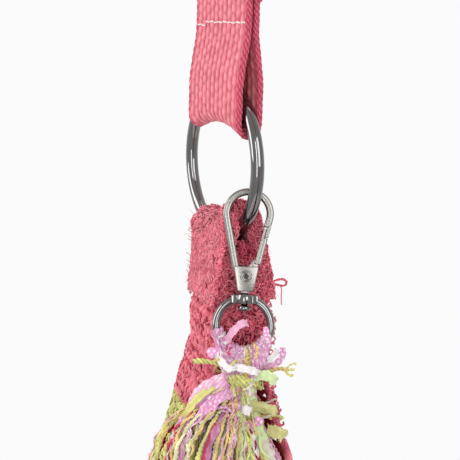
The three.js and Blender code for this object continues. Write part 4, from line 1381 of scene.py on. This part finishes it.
def build_tassel():
    lime, red, strips = Batch(), Batch(), Batch()
    palette = (
        (lime, LIME, 0.38), (lime, mix(LIME, PALE, 0.35), 0.12), (lime, PEACH, 0.16), (red, CORAL, 0.08),
        (red, RUBY, 0.06), (red, srgb(240, 186, 196), 0.1), (lime, GREIGE, 0.1),
    )
    weights = np.array([entry[2] for entry in palette])
    for k in range(YARNS):
        batch, tint, _ = palette[rng.choice(len(palette), p=weights / weights.sum())]
        angle = 2 * np.pi * (k * 0.381966 % 1)
        if k % 3 == 0:
            angle = rng.uniform(0.8, 1.5) * np.pi
        inside = math.sqrt(rng.uniform(0.08, 0.98))
        long = TASSEL_LONG * rng.uniform(0.84, 0.99)
        path = skirt_path(angle, inside, long, rng.uniform(1.5, 4.4), count=56)
        plied(batch, path, rng.uniform(0.45, 0.8), tint * rng.uniform(0.92, 1.12),
              pitch=rng.uniform(2.4, 3.8))
    for k in range(STRIPS):
        angle = 2 * np.pi * (k * 0.618034 % 1) + 0.4
        dotted = rng.random() < 0.6
        tint = LILAC if dotted else (PALE * 0.93 if rng.random() < 0.7 else MINT)
        path = skirt_path(angle, rng.uniform(0.4, 0.95), TASSEL_LONG * rng.uniform(0.8, 0.97),
                          rng.uniform(2.5, 4.6), count=54)
        side_axis = np.array([-math.sin(angle), math.cos(angle), 0.15])
        ribbon(strips, path, rng.uniform(2.2, 3.8), tint * rng.uniform(0.95, 1.08), side_axis,
               curl=rng.uniform(-0.7, 0.7), dots=PALE if dotted else None)
    # Head: strips and yarns that lap over the eye's wire from front to back
    half_wire = EYE_WIRE / 2
    for k in range(HEAD_STRANDS):
        phi = math.radians(lerp(-72, 66, (k + 0.5) / HEAD_STRANDS) + rng.uniform(-2, 2))
        radial = np.array([math.sin(phi), 0, -math.cos(phi)])
        wire = radial * EYE_RADIUS + [0, 0, EYE_Z]
        puff = rng.uniform(0.5, 1.8)
        neck = np.array([wire[0] * 0.42, 0, TIE_Z - 0.5])
        middle = lerp(neck, wire, 0.55) * [1.12, 1, 1]
        y = np.array([0, 1.0, 0])
        line = [neck - 3.4 * y, middle - (4.2 + puff) * y,
                wire + radial * 0.6 - (half_wire + 1.1 + puff * 0.4) * y,
                wire - radial * half_wire - (half_wire + 0.3) * y, wire - radial * (half_wire + 0.6),
                wire - radial * half_wire + (half_wire + 0.3) * y,
                wire + radial * 0.6 + (half_wire + 1.2) * y, middle + 4.4 * y, neck + 3.4 * y]
        path = curve_through(line, 64)
        kind = rng.random()
        if kind < 0.3:
            plied(lime, path, 0.8, LIME if rng.random() < 0.7 else PEACH)
        elif kind < 0.4:
            plied(red, path, 0.8, CORAL)
        else:
            dotted = rng.random() < 0.72
            across = np.array([math.cos(phi), 0.05, math.sin(phi)])
            wide = rng.uniform(2.2, 3.8)
            tint = (LILAC if dotted else PALE) * rng.uniform(0.9, 1.05)
            ribbon(strips, path, wide, tint, across,
                   curl=rng.uniform(-0.5, 0.2), dots=PALE if dotted else None)
    # Loose ends of strips: start, end, bulge, width, colour, dotted
    ends = (
        ((-6.5, -2, -54.0), (1.2, -3, -46.2), (-0.6, -1.5, 1.4), 2.5, BLUSH, False),
        ((6.5, -1, -55.0), (7.6, -2, -47.4), (0.6, -1, 0), 2.0, LILAC * 1.1, True),
        ((5.0, -3, -61.5), (13.6, -5, -54.0), (1.8, -1, -2.0), 2.2, LILAC * 0.95, True),
        ((3.5, -5, -64.0), (10.8, -7, -66.8), (1.5, -1.5, 1.6), 3.6, MINT, False),
        ((5.0, -5, -60.0), (11.5, -5, -54.5), (1.0, -1.5, -0.5), 2.0, PALE * 0.8, False),
        ((3.5, -5, -74.5), (12.2, -8, -76.6), (1.0, -1.5, 0.6), 3.4, OLIVE, False),
        ((9.5, -6, -82.5), (15.0, -9, -84.4), (0.6, -1.5, 0.8), 4.2, OLIVE * 1.05, False),
        ((1.0, -7, -81.0), (6.8, -9.5, -77.6), (0.6, -1, -0.6), 2.6, LILAC, True),
        ((-1.0, -7, -75.5), (3.2, -8.5, -76.4), (0.5, -1.5, 0.6), 3.0, PALE * 0.94, False),
        ((-9.5, -5, -56.5), (-2.5, -8, -61.8), (-0.6, -1.5, -1.2), 2.4, PALE * 0.96, False),
        ((-4.0, -6, -61.0), (5.4, -8, -63.0), (0.5, -1.5, 0.4), 2.6, PALE * 0.94, False),
        ((-5.0, -6, -66.5), (-22.0, -8, -92.0), (-3.4, -2, 2.2), 3.6, LILAC * 1.08, True),
        ((-5.5, -5, -64.5), (-16.5, -7, -78.0), (-2.4, -2, 2.6), 3.0, BLUSH, True),
        ((-6.0, -5, -66.0), (-19.0, -7, -84.0), (-2.8, -3, 2.4), 2.4, LIME, False),
        ((-8.0, -5, -56.0), (-11.5, -5, -58.5), (-1.0, -1, 0.8), 2.8, LILAC * 1.12, True),
        ((-4.0, -7, -69.0), (-14.0, -10, -83.0), (-2.0, -2.5, 2.0), 3.8, LILAC * 1.05, True),
        ((-3.0, -7, -70.0), (-10.5, -11, -76.5), (-1.2, -2, 1.6), 3.2, LILAC, True),
        # The next two ends are darkened as painted shade on the skirt's shaded right-hand side.
        ((4.0, -6, -82.0), (12.0, -9, -100.0), (1.6, -2.5, 1.0), 4.0, GREIGE * 0.86, False),
        ((6.5, -5, -84.0), (15.5, -8, -104.0), (1.4, -2, 1.4), 3.4, LILAC * 0.84, True),
        ((-2.0, -9, -84.0), (0.5, -13, -106.0), (-1.0, -2, 0.5), 4.2, PALE * 0.92, False),
    )
    for start, end, bulge, wide, tint, dotted in ends:
        path = curl_of(start, end, bulge)
        across = np.cross(unit(np.subtract(end, start)), [0.1, 1.0, 0.1])
        ribbon(strips, path, wide, tint, across, curl=rng.uniform(-0.4, 0.4), dots=PALE if dotted else None)
    turn = np.linspace(0, 2 * np.pi * 1.6, 60)
    roll = np.stack([-6.5 + (3.4 - turn / 5) * np.cos(turn), -9.5 - 0.1 * turn,
                     -77.0 + (3.0 - turn / 5) * np.sin(turn)], -1)
    ribbon(strips, roll, 3.2, LILAC * 0.85, np.array([0.1, 1.0, 0.1]), curl=0.1, dots=PALE)
    for k in range(CURLS):
        angle = rng.uniform(0, 2 * np.pi)
        z = rng.uniform(-84, -57)
        start = np.array([4.5 * math.cos(angle), 4.5 * math.sin(angle), z])
        spread = lerp(2.0, 3.2, smooth(-z, 60, 84))
        end = start * [spread, spread, 1] + rng.normal(0, 1.5, 3) + [0, 0, rng.uniform(-7, 1)]
        plied(lime, curl_of(start, end, rng.normal(0, 1.6, 3), 20), rng.uniform(0.3, 0.5),
              (LIME, PEACH, LIME, GREIGE)[k % 4], pitch=2.4)
    made = []
    for batch, name, material in ((lime, "tassel_yarns_lime", yarn), (red, "tassel_yarns_red", yarn),
                                  (strips, "tassel_strips", cloth_strip)):
        batch.points = [to_world(points) for points in batch.points]
        obj = batch.build(name, material)
        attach(obj, "swivel")
        made.append(obj)
    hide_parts("tassel")
    return made


def build_tie():
    batch = Batch()
    radius = TIE_WIDE / 2 - 0.7
    turns = 3
    angle = np.linspace(0, 2 * np.pi * turns, 60 * turns)
    climb = np.linspace(-1, 1, len(angle)) * (TIE_HIGH / 2 - 0.8)
    reach = radius + 0.3 * np.sin(angle * 3.1)
    x = reach * np.cos(angle)
    height = TIE_Z + climb + 0.3 * np.sin(angle * 2.3) - 0.16 * x
    plied(batch, np.stack([x, reach * np.sin(angle) * 0.95, height], -1), 1.0, LIME, pitch=3.6)
    plied(batch, curl_of((-5.5, -3, -61.5), (-17.0, -4, -60.2), (0, -1, 0.7), 30), 0.8, LIME, pitch=3.2)
    plied(batch, curl_of((5.0, -4, -64.5), (15.5, -5, -61.8), (0, -1, 1.2), 30), 0.8, PEACH, pitch=3.0)
    for rise, reach_x in ((1.9, 18.6), (0.2, 18.0), (-1.5, 17.6)):
        fray = curl_of((14.8, -5, -61.9), (reach_x, -5.5, -61.6 + rise), (0, 0, rise * 0.5), 14)
        plied(batch, fray, 0.4, LIME)
    batch.points = [to_world(points) for points in batch.points]
    obj = batch.build("tassel_tie_yarn", yarn)
    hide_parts("tassel_tie")
    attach(obj, "swivel")


build_tassel()
build_tie()

# Floor and light

FLOOR_DROP = 0.68
FLOOR_RADIUS = 0.5
floor_mesh = bmesh.new()
bmesh.ops.create_circle(floor_mesh, cap_ends=True, segments=96, radius=FLOOR_RADIUS)
floor_data = bpy.data.meshes.new("floor")
floor_mesh.to_mesh(floor_data)
floor_mesh.free()
floor_paint, floor_tree, floor_shader = new_material("floor_paint")
floor_shader.inputs["Base Color"].default_value = (0.9, 0.9, 0.9, 1)
floor_shader.inputs["Roughness"].default_value = 0.9
floor = place("floor", floor_data, floor_paint)
floor.location.z = -FLOOR_DROP


def softbox(name, at, aim, wide, high, power, colour=(1, 1, 1)):
    light = bpy.data.lights.new(name, "AREA")
    light.shape = "RECTANGLE"
    light.size, light.size_y = wide, high
    light.energy = power
    light.color = colour
    obj = bpy.data.objects.new(name, light)
    obj.location = at
    obj.rotation_euler = (Vector(aim) - Vector(at)).to_track_quat("-Z", "Y").to_euler()
    bpy.context.scene.collection.objects.link(obj)


AIM = (-0.11, 0, -0.27)
softbox("key", (-0.45, -1.0, 0.15), AIM, 0.5, 0.9, 6.5)
softbox("strip", (0.9, -0.75, -0.1), AIM, 0.2, 1.0, 4)
softbox("fill", (1.0, 0.1, 0.1), AIM, 0.6, 0.8, 6)
softbox("top", (-0.1, 0.1, 0.8), AIM, 0.5, 0.5, 1.5)

# The studio's walls: bright behind the bag, dimmer behind the camera
world = bpy.data.worlds.new("studio")
bpy.context.scene.world = world
world.use_nodes = True
sky = world.node_tree
toward = sky.nodes.new("ShaderNodeTexCoord")
facing = sky.nodes.new("ShaderNodeVectorMath")
facing.operation = "DOT_PRODUCT"
facing.inputs[1].default_value = tuple(float(v) for v in -back)
fade = node(sky, "ShaderNodeMapRange", From_Min=-0.2, From_Max=0.75, To_Min=0.62, To_Max=0.97)
fade.interpolation_type = "SMOOTHSTEP"
sky.links.new(toward.outputs["Generated"], facing.inputs[0])
sky.links.new(facing.outputs["Value"], fade.inputs["Value"])
sky.links.new(fade.outputs["Result"], sky.nodes["Background"].inputs["Strength"])
sky.nodes["Background"].inputs["Color"].default_value = (0.995, 0.995, 1.0, 1)
bpy.context.scene.view_settings.view_transform = "Standard"
